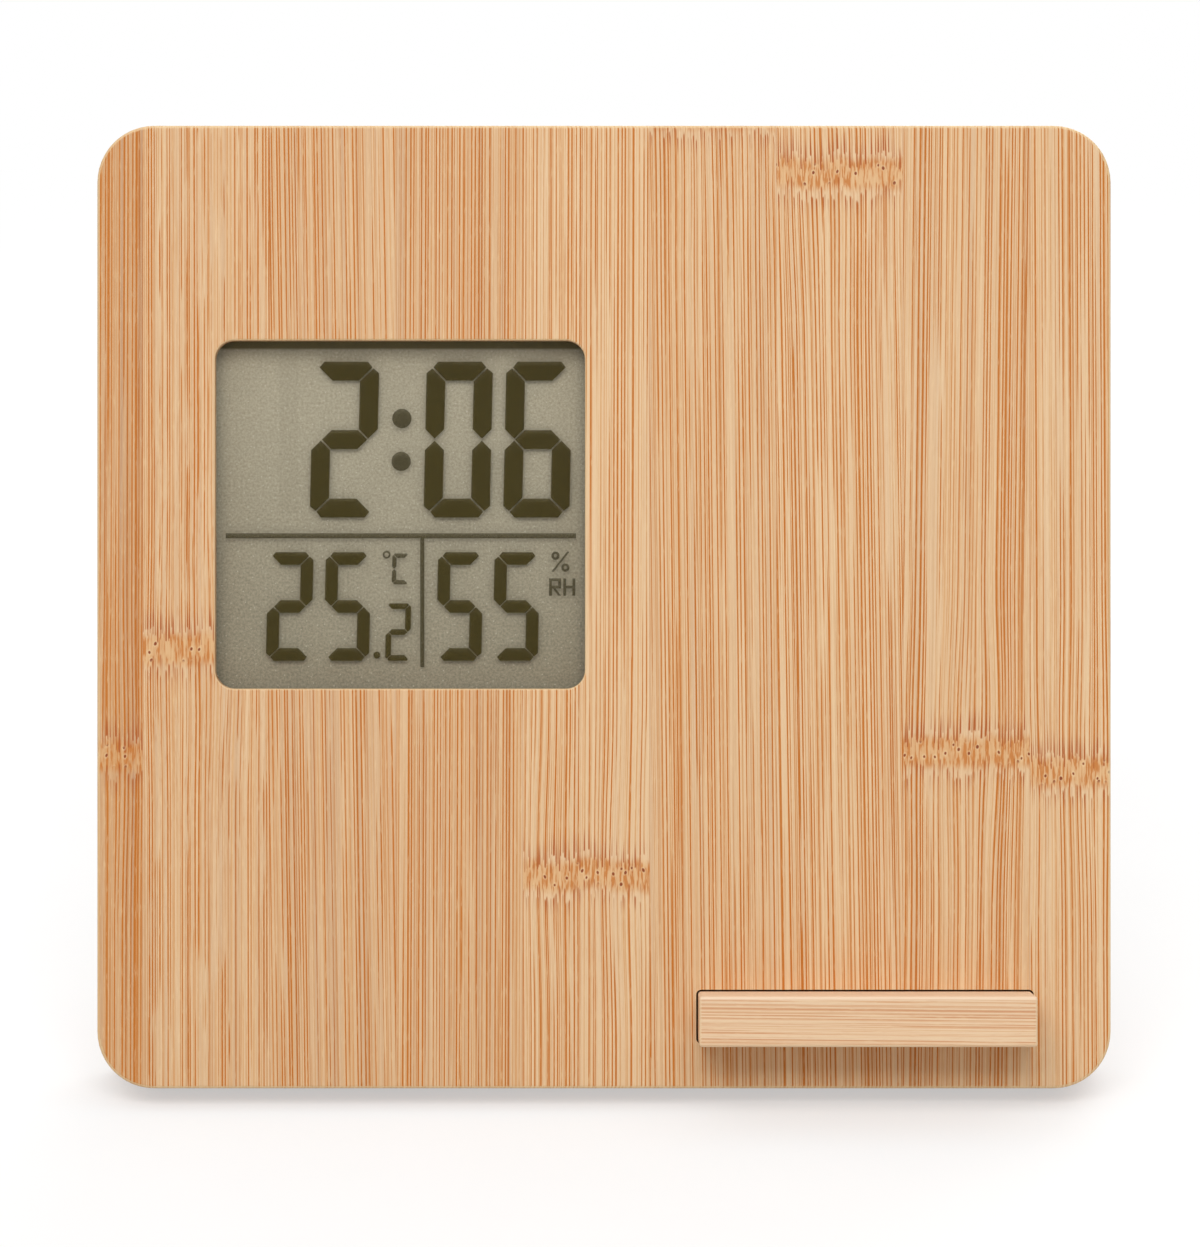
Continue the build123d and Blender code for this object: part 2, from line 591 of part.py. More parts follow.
# Rear cover: a flush plate with the battery bay behind it and the hinge ears on it
button_u = WINDOW_U + BUTTON_SPOT[0]
button_v = WINDOW_V + BUTTON_SPOT[1]
with BuildPart() as rear_cover:
    with BuildSketch(face_plane(COVER_FRONT)):
        with Locations((0, POCKET_V)):
            RectangleRounded(REBATE_W - 2 * COVER_GAP, REBATE_H - 2 * COVER_GAP, COVER_CORNER_R - COVER_GAP)
    extrude(amount=-COVER_T)
    with BuildSketch(face_plane(BAY_FLOOR_FRONT)):
        with Locations((BAY_U, BAY_V)):
            Rectangle(BAY_INSIDE_W + 2 * BAY_WALL, BAY_INSIDE_LEN + 2 * BAY_END_WALL)
    extrude(amount=BAY_FLOOR_FRONT - COVER_FRONT)
    with BuildSketch(face_plane(BAY_INSIDE_FRONT)):
        with Locations((BAY_U, BAY_V)):
            Rectangle(BAY_INSIDE_W, BAY_INSIDE_LEN)
    extrude(amount=BAY_INSIDE_FRONT - BODY_T, mode=Mode.SUBTRACT)
    with BuildSketch(face_plane(COVER_FRONT)):
        with Locations((BAY_U - DOOR_LAND / 2, BAY_V)):
            Rectangle(BAY_INSIDE_W + DOOR_LAND, BAY_INSIDE_LEN)
    extrude(amount=-COVER_T, mode=Mode.SUBTRACT)
    with BuildSketch(level_plane(BAY_V)):
        with Locations((DOOR_HINGE_U, DOOR_HINGE_W)):
            Circle(DOOR_STUB_R + STUB_CLEARANCE)
    extrude(amount=DOOR_LEN / 2 + DOOR_STUB_LEN + STUB_END_GAP, both=True, mode=Mode.SUBTRACT)
    with BuildSketch(level_plane(BAY_INSIDE_TOP)):
        with Locations((CELL_LEFT_U, CELL_DEPTH), (CELL_RIGHT_U, CELL_DEPTH)):
            Rectangle(BLADE_W + 2 * BLADE_CLEARANCE, CONTACT_T + 2 * BLADE_CLEARANCE)
    extrude(amount=BAY_END_WALL, mode=Mode.SUBTRACT)
    for ear_u in (-STAND_W / 2 - EAR_GAP - EAR_T, STAND_W / 2 + EAR_GAP):
        with BuildSketch(side_plane(ear_u)):
            with Locations((HINGE_W, HINGE_V)):
                Circle(EAR_R)
                Rectangle(HINGE_OUT + COVER_T, 2 * EAR_R, align=(Align.MAX, Align.CENTER))
                Circle(PIN_R + PIN_SEAT, mode=Mode.SUBTRACT)
        extrude(amount=EAR_T)
    with BuildSketch(face_plane(COVER_FRONT)):
        with Locations((button_u, button_v)):
            with GridLocations(0, BUTTON_PITCH, 1, BUTTON_COUNT):
                Circle(BUTTON_R + BUTTON_CLEARANCE)
        with Locations((WINDOW_U + SENSOR_SPOT[0], WINDOW_V + SENSOR_SPOT[1])):
            with GridLocations(0, VENT_PITCH, 1, VENT_COUNT):
                SlotOverall(VENT_LEN, VENT_W)
        with Locations((WINDOW_U + BUZZER_SPOT[0], WINDOW_V + BUZZER_SPOT[1])):
            Circle(SOUND_HOLE_R)
            with PolarLocations(SOUND_RING_R, SOUND_COUNT):
                Circle(SOUND_HOLE_R)
    extrude(amount=-COVER_T, mode=Mode.SUBTRACT)
    with Locations(rear_plane(BODY_T)):
        with Locations((0, POCKET_V)):
            with GridLocations(SCREW_SPACING_U, SCREW_SPACING_V, 3, 2):
                CounterSinkHole(SCREW_R + SCREW_CLEARANCE, SCREW_HEAD_R + SCREW_CLEARANCE, COVER_T,
                                SCREW_HEAD_ANGLE)

# Cover screws: countersunk heads flush with the cover, shanks in the bamboo
SCREW_HEAD_T = SCREW_HEAD_R - SCREW_R
with BuildPart(rear_plane(BODY_T)) as cover_screws:
    with Locations((0, POCKET_V)):
        with GridLocations(SCREW_SPACING_U, SCREW_SPACING_V, 3, 2):
            Cone(SCREW_R, SCREW_HEAD_R, SCREW_HEAD_T, align=TOP_ALIGN)
            Cylinder(SCREW_R, COVER_T + SCREW_BITE, align=TOP_ALIGN)
            Box(CROSS_LEN, CROSS_W, 2 * CROSS_DEPTH, mode=Mode.SUBTRACT)
            Box(CROSS_W, CROSS_LEN, 2 * CROSS_DEPTH, mode=Mode.SUBTRACT)

# Battery door: a plate with a hinge barrel, stub pins and a thumb scoop
with BuildPart() as battery_door:
    with BuildSketch(face_plane(BODY_T - DOOR_T)):
        with Locations(((DOOR_FREE_U + DOOR_HINGE_U) / 2, BAY_V)):
            Rectangle(DOOR_HINGE_U - DOOR_FREE_U, DOOR_LEN)
    extrude(amount=-DOOR_T)
    with BuildSketch(level_plane(BAY_V)):
        with Locations((DOOR_HINGE_U, DOOR_HINGE_W)):
            Circle(DOOR_BARREL_R)
    extrude(amount=DOOR_LEN / 2, both=True)
    with BuildSketch(level_plane(BAY_V)):
        with Locations((DOOR_HINGE_U, DOOR_HINGE_W)):
            Circle(DOOR_STUB_R)
    extrude(amount=DOOR_LEN / 2 + DOOR_STUB_LEN, both=True)
    with BuildSketch(face_plane(BODY_T)):
        with Locations((DOOR_FREE_U, BAY_V)):
            Circle(THUMB_R)
    extrude(amount=THUMB_DEPTH, mode=Mode.SUBTRACT)

# Cells: the left one with its nub up, the right one with its nub down
CELL_TOP = BAY_INSIDE_TOP - CONTACT_T
CELL_FOOT = BAY_INSIDE_BOTTOM + CONTACT_T


def round_outline(u, v, radius):
    """Round outline of a cell or its nub on a level plane."""
    with BuildSketch(level_plane(v)) as outline:
        with Locations((u, CELL_DEPTH)):
            Circle(radius)
    return outline.sketch


with BuildPart() as battery_left:
    extrude(round_outline(CELL_LEFT_U, CELL_TOP - NUB_T, CELL_R), amount=NUB_T - CELL_LEN)
    fillet(battery_left.edges(), CELL_EDGE_R)
    extrude(round_outline(CELL_LEFT_U, CELL_TOP, NUB_R), amount=-NUB_T - CELL_EDGE_R)

with BuildPart() as battery_right:
    extrude(round_outline(CELL_RIGHT_U, CELL_FOOT + NUB_T, CELL_R), amount=CELL_LEN - NUB_T)
    fillet(battery_right.edges(), CELL_EDGE_R)
    extrude(round_outline(CELL_RIGHT_U, CELL_FOOT, NUB_R), amount=NUB_T + CELL_EDGE_R)


def bowed_leaf(u, base, way):
    """Sprung strip bowed from a contact's base towards the flat end of a cell: way is up or down."""
    crown = base + way * LEAF_BOW
    with BuildSketch(side_plane(u - LEAF_W / 2)) as outline:
        with BuildLine():
            ThreePointArc((CELL_DEPTH - LEAF_HALF, base), (CELL_DEPTH, crown), (CELL_DEPTH + LEAF_HALF, base))
            Line((CELL_DEPTH + LEAF_HALF, base), (CELL_DEPTH + LEAF_HALF - LEAF_T, base))
            ThreePointArc((CELL_DEPTH + LEAF_HALF - LEAF_T, base), (CELL_DEPTH, crown - way * LEAF_T),
                          (CELL_DEPTH - LEAF_HALF + LEAF_T, base))
            Line((CELL_DEPTH - LEAF_HALF + LEAF_T, base), (CELL_DEPTH - LEAF_HALF, base))
        make_face()
    return outline.sketch


# Contacts: each end of the bay has its base plates, bowed leaves and solder blades
with BuildPart() as contact_positive:
    with BuildSketch(level_plane(CELL_TOP)):
        with Locations((CELL_LEFT_U, CELL_DEPTH)):
            Rectangle(CONTACT_W, CONTACT_W)
    extrude(amount=CONTACT_T)
    with BuildSketch(level_plane(CELL_TOP)):
        with Locations((CELL_LEFT_U, CELL_DEPTH)):
            Rectangle(BLADE_W, CONTACT_T)
    extrude(amount=CONTACT_T + BAY_END_WALL + BLADE_OUT_POSITIVE)

with BuildPart() as contact_negative:
    with BuildSketch(level_plane(CELL_TOP)):
        with Locations((CELL_RIGHT_U, CELL_DEPTH)):
            Rectangle(CONTACT_W, CONTACT_W)
    extrude(amount=CONTACT_T)
    with BuildSketch(level_plane(CELL_TOP)):
        with Locations((CELL_RIGHT_U, CELL_DEPTH)):
            Rectangle(BLADE_W, CONTACT_T)
    extrude(amount=CONTACT_T + BAY_END_WALL + BLADE_OUT_NEGATIVE)
    extrude(bowed_leaf(CELL_RIGHT_U, CELL_TOP, -1), amount=LEAF_W)

with BuildPart() as contact_bridge:
    with BuildSketch(level_plane(BAY_INSIDE_BOTTOM)):
        with Locations(((CELL_LEFT_U + CELL_RIGHT_U) / 2, CELL_DEPTH)):
            Rectangle(CELL_RIGHT_U - CELL_LEFT_U + CONTACT_W, CONTACT_W)
    extrude(amount=CONTACT_T)
    extrude(bowed_leaf(CELL_LEFT_U, CELL_FOOT, 1), amount=LEAF_W)


def lead_route(cell_u, blade_out):
    """Route of a lead: along the panel from a blade's side, then down onto the board."""
    level = BAY_INSIDE_TOP + BAY_END_WALL + blade_out - LEAD_R
    start = (cell_u - BLADE_W / 2, CELL_DEPTH)
    landing = WINDOW_U + FRAME_W / 2 - LEAD_LANDING
    with BuildLine(level_plane(level)) as route:
        FilletPolyline(start, (landing, CELL_DEPTH), (landing, BOARD_REAR), radius=LEAD_BEND_R)
    return route.line


def lead_section(route):
    """Round section at the start of a lead's route."""
    with BuildSketch(Plane(origin=route @ 0, z_dir=route % 0)) as section:
        Circle(LEAD_R)
    return section.sketch


with BuildPart() as lead_positive:
    positive_route = lead_route(CELL_LEFT_U, BLADE_OUT_POSITIVE)
    sweep(lead_section(positive_route), path=positive_route)

with BuildPart() as lead_negative:
    negative_route = lead_route(CELL_RIGHT_U, BLADE_OUT_NEGATIVE)
    sweep(lead_section(negative_route), path=negative_route)


# Buttons: a cap through the cover, a flange behind it and a stem over the switch
FLANGE_REAR = COVER_FRONT - BUTTON_REST_GAP
FLANGE_FRONT = FLANGE_REAR - BUTTON_FLANGE_T
STEM_FRONT = PLUNGER_REAR + BUTTON_TRAVEL + BUTTON_REST_GAP
buttons = {}
for row, name in enumerate(("button_down", "button_up", "button_set", "button_mode")):
    spot = (-button_u, button_v + (row - (BUTTON_COUNT - 1) / 2) * BUTTON_PITCH)
    with BuildPart(rear_plane(FLANGE_FRONT)) as button:
        with Locations(spot):
            Cylinder(BUTTON_R, BODY_T + BUTTON_PROUD - FLANGE_FRONT, align=BASE_ALIGN)
        fillet(button.edges().sort_by(to_front)[0], BUTTON_EDGE_R)
        with Locations(spot):
            Cylinder(BUTTON_FLANGE_R, BUTTON_FLANGE_T, align=BASE_ALIGN)
            Cylinder(BUTTON_STEM_R, FLANGE_FRONT - STEM_FRONT, align=TOP_ALIGN)
    buttons[name] = button

# Kickstand: a barrel on the pin, a heel that stops on the cover, and a leg that reaches the desk
with BuildPart() as kickstand:
    with BuildSketch(side_plane(-STAND_W / 2)):
        with Locations((HINGE_W, HINGE_V)):
            Circle(BARREL_R)
        with Locations((BODY_T + HEEL_GAP, HINGE_V)):
            Rectangle(HEEL_T, HEEL_LEN, align=(Align.MIN, Align.MIN))
    extrude(amount=STAND_W)
    with BuildSketch(leg_plane(-STAND_W / 2)):
        with BuildLine():
            Polyline((LEG_INNER, 0), (LEG_INNER, leg_reach(LEG_INNER, FOOT_PAD_T)),
                     (LEG_OUTER, leg_reach(LEG_OUTER, FOOT_PAD_T)), (LEG_OUTER, 0), close=True)
        make_face()
    extrude(amount=STAND_W)
    fillet(kickstand.edges().filter_by(Axis((0, 0, 0), leg_up)), LEG_EDGE_R)
    panel_len = -leg_reach(LEG_OUTER, FOOT_PAD_T) - PANEL_TOP - PANEL_FOOT
    with BuildSketch(Plane(origin=hinge_point + leg_rear * LEG_OUTER, x_dir=(1, 0, 0), z_dir=leg_rear)):
        with Locations((0, PANEL_TOP + panel_len / 2)):
            RectangleRounded(STAND_W - 2 * PANEL_MARGIN, panel_len, PANEL_CORNER_R)
    extrude(amount=-PANEL_DEPTH, mode=Mode.SUBTRACT)
    with BuildSketch(side_plane(-STAND_W / 2)):
        with Locations((HINGE_W, HINGE_V)):
            Circle(PIN_R + PIN_CLEARANCE)
    extrude(amount=STAND_W, mode=Mode.SUBTRACT)

with BuildPart() as foot_pad:
    with BuildSketch(leg_plane(-STAND_W / 2 + LEG_EDGE_R)):
        with BuildLine():
            Polyline((LEG_INNER, leg_reach(LEG_INNER, FOOT_PAD_T)), (LEG_INNER, leg_reach(LEG_INNER, 0)),
                     (LEG_OUTER, leg_reach(LEG_OUTER, 0)), (LEG_OUTER, leg_reach(LEG_OUTER, FOOT_PAD_T)),
                     close=True)
        make_face()
    extrude(amount=STAND_W - 2 * LEG_EDGE_R)

with BuildPart() as hinge_pin:
    pin_half = STAND_W / 2 + EAR_GAP + EAR_T
    with BuildSketch(side_plane(-pin_half)):
        with Locations((HINGE_W, HINGE_V)):
            Circle(PIN_R)
    extrude(amount=2 * pin_half)
    chamfer(hinge_pin.edges().filter_by(GeomType.CIRCLE), PIN_DOME)

pieces = {
    "bamboo_body": bamboo_body,
    "ledge_bar": ledge_bar,
    "base_pads": base_pads,
    "lcd_front_glass": lcd_front_glass,
    "lcd_segments": lcd_segments,
    "lcd_rear_glass": lcd_rear_glass,
    "lcd_reflector": lcd_reflector,
    "lcd_frame": lcd_frame,
    "zebra_strip": zebra_strip,
    "main_board": main_board,
    "board_screws": board_screws,
    "controller_blob": controller_blob,
    "quartz_crystal": quartz_crystal,
    "climate_sensor": climate_sensor,
    "buzzer": buzzer,
    "tact_switches": tact_switches,
    "rear_cover": rear_cover,
    "cover_screws": cover_screws,
    "battery_door": battery_door,
    "battery_left": battery_left,
    "battery_right": battery_right,
    "contact_positive": contact_positive,
    "contact_negative": contact_negative,
    "contact_bridge": contact_bridge,
    "lead_positive": lead_positive,
    "lead_negative": lead_negative,
    "kickstand": kickstand,
    "foot_pad": foot_pad,
    "hinge_pin": hinge_pin,
    **buttons,
}

os.makedirs("parts", exist_ok=True)
for name, piece in pieces.items():
    piece.part.label = name
    export_step(piece.part, f"parts/{name}.step")
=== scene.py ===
# %% [markdown]
# # A bamboo desk clock, dressed in Blender
# The clock is a thick bamboo panel that leans back on a fold-out stand, with a grey display in its face
# and a short bamboo bar that holds up a phone. Its shapes come from CAD as a fixed frame, in metres, so
# they could be modelled again here, but that would only blur them. This lesson keeps every solid and
# spends its effort on finishes, on the light, and on the small moulded signs that CAD leaves out.

# %% Load the frame
import json
import math
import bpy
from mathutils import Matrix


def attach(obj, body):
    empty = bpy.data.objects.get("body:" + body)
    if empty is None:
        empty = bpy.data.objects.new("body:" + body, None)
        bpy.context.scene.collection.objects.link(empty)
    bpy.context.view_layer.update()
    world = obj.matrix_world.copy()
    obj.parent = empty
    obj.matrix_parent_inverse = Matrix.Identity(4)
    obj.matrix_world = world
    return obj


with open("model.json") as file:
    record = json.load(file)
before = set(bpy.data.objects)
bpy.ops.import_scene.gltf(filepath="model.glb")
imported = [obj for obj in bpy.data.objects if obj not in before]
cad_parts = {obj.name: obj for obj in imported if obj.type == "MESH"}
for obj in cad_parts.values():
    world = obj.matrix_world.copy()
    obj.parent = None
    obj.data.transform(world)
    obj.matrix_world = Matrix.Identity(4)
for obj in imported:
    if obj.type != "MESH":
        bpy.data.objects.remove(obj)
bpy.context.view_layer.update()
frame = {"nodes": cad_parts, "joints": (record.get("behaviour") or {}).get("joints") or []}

from types import SimpleNamespace

import bmesh
import bpy
from mathutils import Matrix, Vector

nodes = frame["nodes"]

# %% [markdown]
# ## The leaning panel
# A maker sets the clock out on its face: so far to the right, so far up, so far behind the face. The
# panel leans, so those three ways are not X, Y and Z. The ledge bar slides straight out of the face, and
# its joint therefore gives the face's direction. The rest is measured on the panel's own mesh, which is
# safer than typing the lean in a second time.

# %% Measure the panel
MM = 0.001
slide = next(joint for joint in frame["joints"] if joint["name"] == "ledge_pull")
RIGHT = Vector((1, 0, 0))
FRONT = Vector(slide["axis"]).normalized()
UP = FRONT.cross(RIGHT)


def reach(node, way):
    """Lowest and highest place of a node along a direction, in millimetres."""
    places = [way.dot(vertex.co) / MM for vertex in nodes[node].data.vertices]
    return min(places), max(places)


BACK, FACE = reach("bamboo_body", FRONT)
FOOT, TOP = reach("bamboo_body", UP)
PANEL_T = FACE - BACK
PANEL_H = TOP - FOOT


def on_panel(u, v, w=0.0):
    """Point u mm right of the middle, v mm over the bottom edge and w mm behind the face."""
    return (RIGHT * u + UP * (FOOT + v) + FRONT * (FACE - w)) * MM


print("lean:", round(math.degrees(math.atan2(FRONT.z, -FRONT.y)), 2), "deg,",
      "panel:", round(PANEL_H, 2), "high,", round(PANEL_T, 2), "thick")

# %% [markdown]
# ## The camera
# The product picture looks square at the face from about a metre away, so the panel's edges stay
# parallel and only the ledge bar shows a little perspective. A camera can be aimed with a constraint,
# but the panel's own three directions already are a rotation matrix, so they are used as they are.

# %% Aim the camera
VIEW_DISTANCE = 1.0
FRAME_HEIGHT = 0.1968
VIEW_MIDDLE = (-0.63, 73.4)
lens = bpy.data.cameras.new("square_on_camera")
lens.lens = lens.sensor_width * VIEW_DISTANCE / FRAME_HEIGHT
camera = bpy.data.objects.new("square_on_camera", lens)
bpy.context.scene.collection.objects.link(camera)
camera.matrix_world = Matrix((RIGHT, UP, FRONT)).transposed().to_4x4()
camera.location = on_panel(*VIEW_MIDDLE) + FRONT * VIEW_DISTANCE
bpy.context.scene.camera = camera
print("lens:", round(lens.lens, 1), "mm")

# %% [markdown]
# ## Shader maths in Python
# A finish is a network of nodes, and wiring it by hand hides the thought behind it. Here one small class
# wraps an output socket, so that sums on sockets read as sums and add their Math nodes by themselves.
# A second class holds one finish, and its `add` method makes every other kind of node: first the node's
# settings, then the values or wires of its sockets.

# %% Wires
class Wire:
    """An output socket. Arithmetic on it adds Math nodes."""

    def __init__(self, finish, socket):
        self.finish = finish
        self.socket = socket

    def math(self, operation, *values):
        return self.finish.add("ShaderNodeMath", {"operation": operation}, dict(enumerate(values)))

    def __add__(self, other):
        return self.math("ADD", self, other)

    def __radd__(self, other):
        return self.math("ADD", other, self)

    def __sub__(self, other):
        return self.math("SUBTRACT", self, other)

    def __rsub__(self, other):
        return self.math("SUBTRACT", other, self)

    def __mul__(self, other):
        return self.math("MULTIPLY", self, other)

    def __rmul__(self, other):
        return self.math("MULTIPLY", other, self)

    def __truediv__(self, other):
        return self.math("DIVIDE", self, other)

    def __rtruediv__(self, other):
        return self.math("DIVIDE", other, self)

    def __gt__(self, other):
        return self.math("GREATER_THAN", self, other)

    def __lt__(self, other):
        return self.math("LESS_THAN", self, other)

    def __abs__(self):
        return self.math("ABSOLUTE", self)

    def floor(self):
        return self.math("FLOOR", self)

    def fraction(self):
        return self.math("FRACT", self)

    def least(self, other):
        return self.math("MINIMUM", self, other)

    def most(self, other):
        return self.math("MAXIMUM", self, other)


# %% Finishes
def tint(red, green, blue):
    """Linear colour for a colour as a screen writes it, 0 to 255."""
    parts = [level / 255 for level in (red, green, blue)]
    return [p / 12.92 if p <= 0.04045 else ((p + 0.055) / 1.055) ** 2.4 for p in parts] + [1.0]


class Finish:
    """The node tree of one finish."""

    def __init__(self, name, tree=None):
        if tree is None:
            self.material = bpy.data.materials.new(name)
            self.material.use_nodes = True
            tree = self.material.node_tree
        self.tree = tree
        self.tree.nodes.clear()

    def add(self, kind, settings=None, sockets=None, out=0):
        """Make a node: its settings, then its sockets. A tuple of outputs gives a tuple of wires."""
        node = self.tree.nodes.new(kind)
        for key, value in (settings or {}).items():
            if key == "stops":
                self.set_stops(node.color_ramp, value)
            else:
                setattr(node, key, value)
        for key, value in (sockets or {}).items():
            if isinstance(value, Wire):
                self.tree.links.new(value.socket, node.inputs[key])
            else:
                node.inputs[key].default_value = value
        if isinstance(out, tuple):
            return tuple(Wire(self, node.outputs[key]) for key in out)
        return Wire(self, node.outputs[out]) if len(node.outputs) else node

    def set_stops(self, ramp, stops):
        """Give a colour ramp its interpolation and its stops."""
        ramp.interpolation = stops[0]
        while len(ramp.elements) < len(stops) - 1:
            ramp.elements.new(1.0)
        for element, (place, colour) in zip(ramp.elements, stops[1:]):
            element.position = place
            element.color = colour

    def blend(self, amount, first, second, mode="MIX"):
        """Colour between two colours."""
        return self.add("ShaderNodeMix", {"data_type": "RGBA", "blend_type": mode},
                        {0: amount, 6: first, 7: second}, out=2)

    def rise(self, value, low, high, start=0.0, end=1.0):
        """Smooth step from start to end while value goes from low to high."""
        return self.add("ShaderNodeMapRange", {"interpolation_type": "SMOOTHSTEP"},
                        {0: value, 1: low, 2: high, 3: start, 4: end})

    def along(self, way):
        """Place along a direction, in millimetres."""
        spot = self.add("ShaderNodeTexCoord", out="Object")
        return self.add("ShaderNodeVectorMath", {"operation": "DOT_PRODUCT"},
                        {0: spot, 1: way / MM}, out="Value")

    def in_mm(self):
        """Place in space, in millimetres."""
        spot = self.add("ShaderNodeTexCoord", out="Object")
        return self.add("ShaderNodeVectorMath", {"operation": "SCALE"}, {0: spot, 3: 1.0 / MM})

    def join(self, x, y=0.0, z=0.0):
        """Vector from three values."""
        return self.add("ShaderNodeCombineXYZ", None, {0: x, 1: y, 2: z})

    def noise(self, spot, scale=1.0, detail=2.0, rough=0.5):
        """Soft noise about 0.5."""
        return self.add("ShaderNodeTexNoise", {"noise_dimensions": "3D"},
                        {"Vector": spot, "Scale": scale, "Detail": detail, "Roughness": rough})

    def bump(self, height, depth_mm, strength):
        """Normal of a relief whose full height is given in millimetres."""
        return self.add("ShaderNodeBump", None,
                        {"Strength": strength, "Distance": depth_mm * MM, "Height": height})

    def surface(self, **sockets):
        """Close the finish with one Principled shader; underscores stand for spaces."""
        named = {key.replace("_", " "): value for key, value in sockets.items()}
        shader = self.add("ShaderNodeBsdfPrincipled", None, named)
        self.add("ShaderNodeOutputMaterial", None, {"Surface": shader})
        return self.material


def dress(material, *names):
    """Give CAD nodes their finish."""
    for name in names:
        slots = nodes[name].data.materials
        slots.clear()
        slots.append(material)
    print(material.name, "on", ", ".join(names), "-", len(material.node_tree.nodes), "shader nodes")


# %% [markdown]
# ## The floor and the light
# The picture has a white ground that loses itself in white, with only a soft shadow at the clock's
# edges. More light would bleach the wood as well, so the white comes from the floor itself: rays that
# reach the eye see the paper partly glowing at exactly 1, and wholly so further away, while rays that
# carry light meet a duller side of it, so that a bright floor doesn't fill the shadow under the ledge bar.
# That shadow tells where the light is: one softbox hangs above the camera, and a room with a bright
# ceiling and dim walls lights the upper edges. A second softbox stands behind, because the clock is
# looked at from the back as well.

# %% Floor
PURE_WHITE = (1, 1, 1, 1)
PAPER_WHITES = tint(249, 249, 249), tint(253, 253, 253)
PAPER_DULL = tint(212, 212, 212)
PAPER_GRAIN = 40.0
FLOOR_HALF = 4.0
GLOW_NEAR = 0.5
GLOW_STARTS, GLOW_FULL = 0.15, 0.6


def seen_rays(finish):
    """1 for the rays that show the ground to the eye, straight or in a gloss, and 0 for light."""
    straight, gloss, through = finish.add(
        "ShaderNodeLightPath", out=("Is Camera Ray", "Is Glossy Ray", "Is Transmission Ray"))
    return straight.most(gloss).most(through)


paper = Finish("white_paper")
paper_spot = paper.add("ShaderNodeTexCoord", out="Object")
paper_tone = paper.noise(paper_spot, PAPER_GRAIN, detail=3.0)
far_off = paper.add("ShaderNodeVectorMath", {"operation": "LENGTH"}, {0: paper_spot}, "Value")
white_side = paper.add("ShaderNodeBsdfDiffuse", None, {"Color": paper.blend(paper_tone, *PAPER_WHITES)})
dull_side = paper.add("ShaderNodeBsdfDiffuse", None, {"Color": PAPER_DULL})
glow = paper.add("ShaderNodeEmission", None, {"Color": PURE_WHITE, "Strength": 1.0})
seen_side = paper.add("ShaderNodeMixShader", None, {
    0: paper.rise(far_off, GLOW_STARTS, GLOW_FULL, GLOW_NEAR, 1.0), 1: white_side, 2: glow})
ground = paper.add("ShaderNodeMixShader", None, {0: seen_rays(paper), 1: dull_side, 2: seen_side})
paper.add("ShaderNodeOutputMaterial", None, {"Surface": ground})

sheet = bmesh.new()
bmesh.ops.create_grid(sheet, x_segments=4, y_segments=4, size=FLOOR_HALF)
floor_mesh = bpy.data.meshes.new("floor")
sheet.to_mesh(floor_mesh)
sheet.free()
floor = bpy.data.objects.new("floor", floor_mesh)
floor_mesh.materials.append(paper.material)
bpy.context.scene.collection.objects.link(floor)
print("floor:", [round(side, 2) for side in floor.dimensions])

# %% World
HORIZON = 0.28
ZENITH = 0.9
world = bpy.data.worlds.new("studio")
bpy.context.scene.world = world
world.use_nodes = True
studio = Finish("studio", world.node_tree)
look_way = studio.add("ShaderNodeTexCoord", out="Generated")
look_up = studio.add("ShaderNodeSeparateXYZ", None, {0: look_way}, 2)
walls, ceiling, white = [studio.add("ShaderNodeBackground", None, {"Color": PURE_WHITE, "Strength": level})
                         for level in (HORIZON, ZENITH, 1.0)]
fill = studio.add("ShaderNodeMixShader", None, {0: studio.rise(look_up, 0.0, 1.0), 1: walls, 2: ceiling})
sky = studio.add("ShaderNodeMixShader", None, {0: seen_rays(studio), 1: fill, 2: white})
studio.add("ShaderNodeOutputWorld", None, {"Surface": sky})
print("world: walls", HORIZON, "ceiling", ZENITH)


# %% Lamps
def softbox(name, aim, towards, distance, wide, tall, watts):
    """Hang a soft rectangular lamp in a direction from what it lights."""
    lamp = bpy.data.lights.new(name, "AREA")
    lamp.shape = "RECTANGLE"
    lamp.size = wide
    lamp.size_y = tall
    lamp.energy = watts
    box = bpy.data.objects.new(name, lamp)
    bpy.context.scene.collection.objects.link(box)
    box.location = aim + towards.normalized() * distance
    box.rotation_mode = "QUATERNION"
    box.rotation_quaternion = towards.to_track_quat("Z", "Y")
    print(name, "at", [round(x, 3) for x in box.location])


KEY_ANGLE = math.radians(27)
KEY_LEFT = 0.06
REAR_WAY = Vector((0.3, 0.85, 0.45))
key_way = FRONT * math.cos(KEY_ANGLE) + UP * math.sin(KEY_ANGLE) - RIGHT * KEY_LEFT
softbox("front_softbox", on_panel(0, PANEL_H / 2), key_way,
        distance=1.1, wide=0.8, tall=0.46, watts=5.85)
softbox("rear_softbox", on_panel(0, PANEL_H / 2, PANEL_T), REAR_WAY,
        distance=1.3, wide=1.0, tall=0.7, watts=7.0)
bpy.context.scene.view_settings.view_transform = "Standard"

# %% [markdown]
# ## Bamboo
# The panel is pressed from flat bamboo strips, 20 mm wide, in three plies. Its look has three parts: long
# fibre bundles that run up each strip, a tone for every strip, and knuckles, where the cane had a joint.
# A picture would give them at once, but it would stretch over the edges. A solid texture is like sawn
# wood: bundles are columns that run up through the panel, so a face cuts them into lines and the ends
# into dots. Each step below adds what it finds out about a spot of the wood to one small record, `spot`,
# which starts with the place across, along and into the strips: u, v and w, in millimetres.

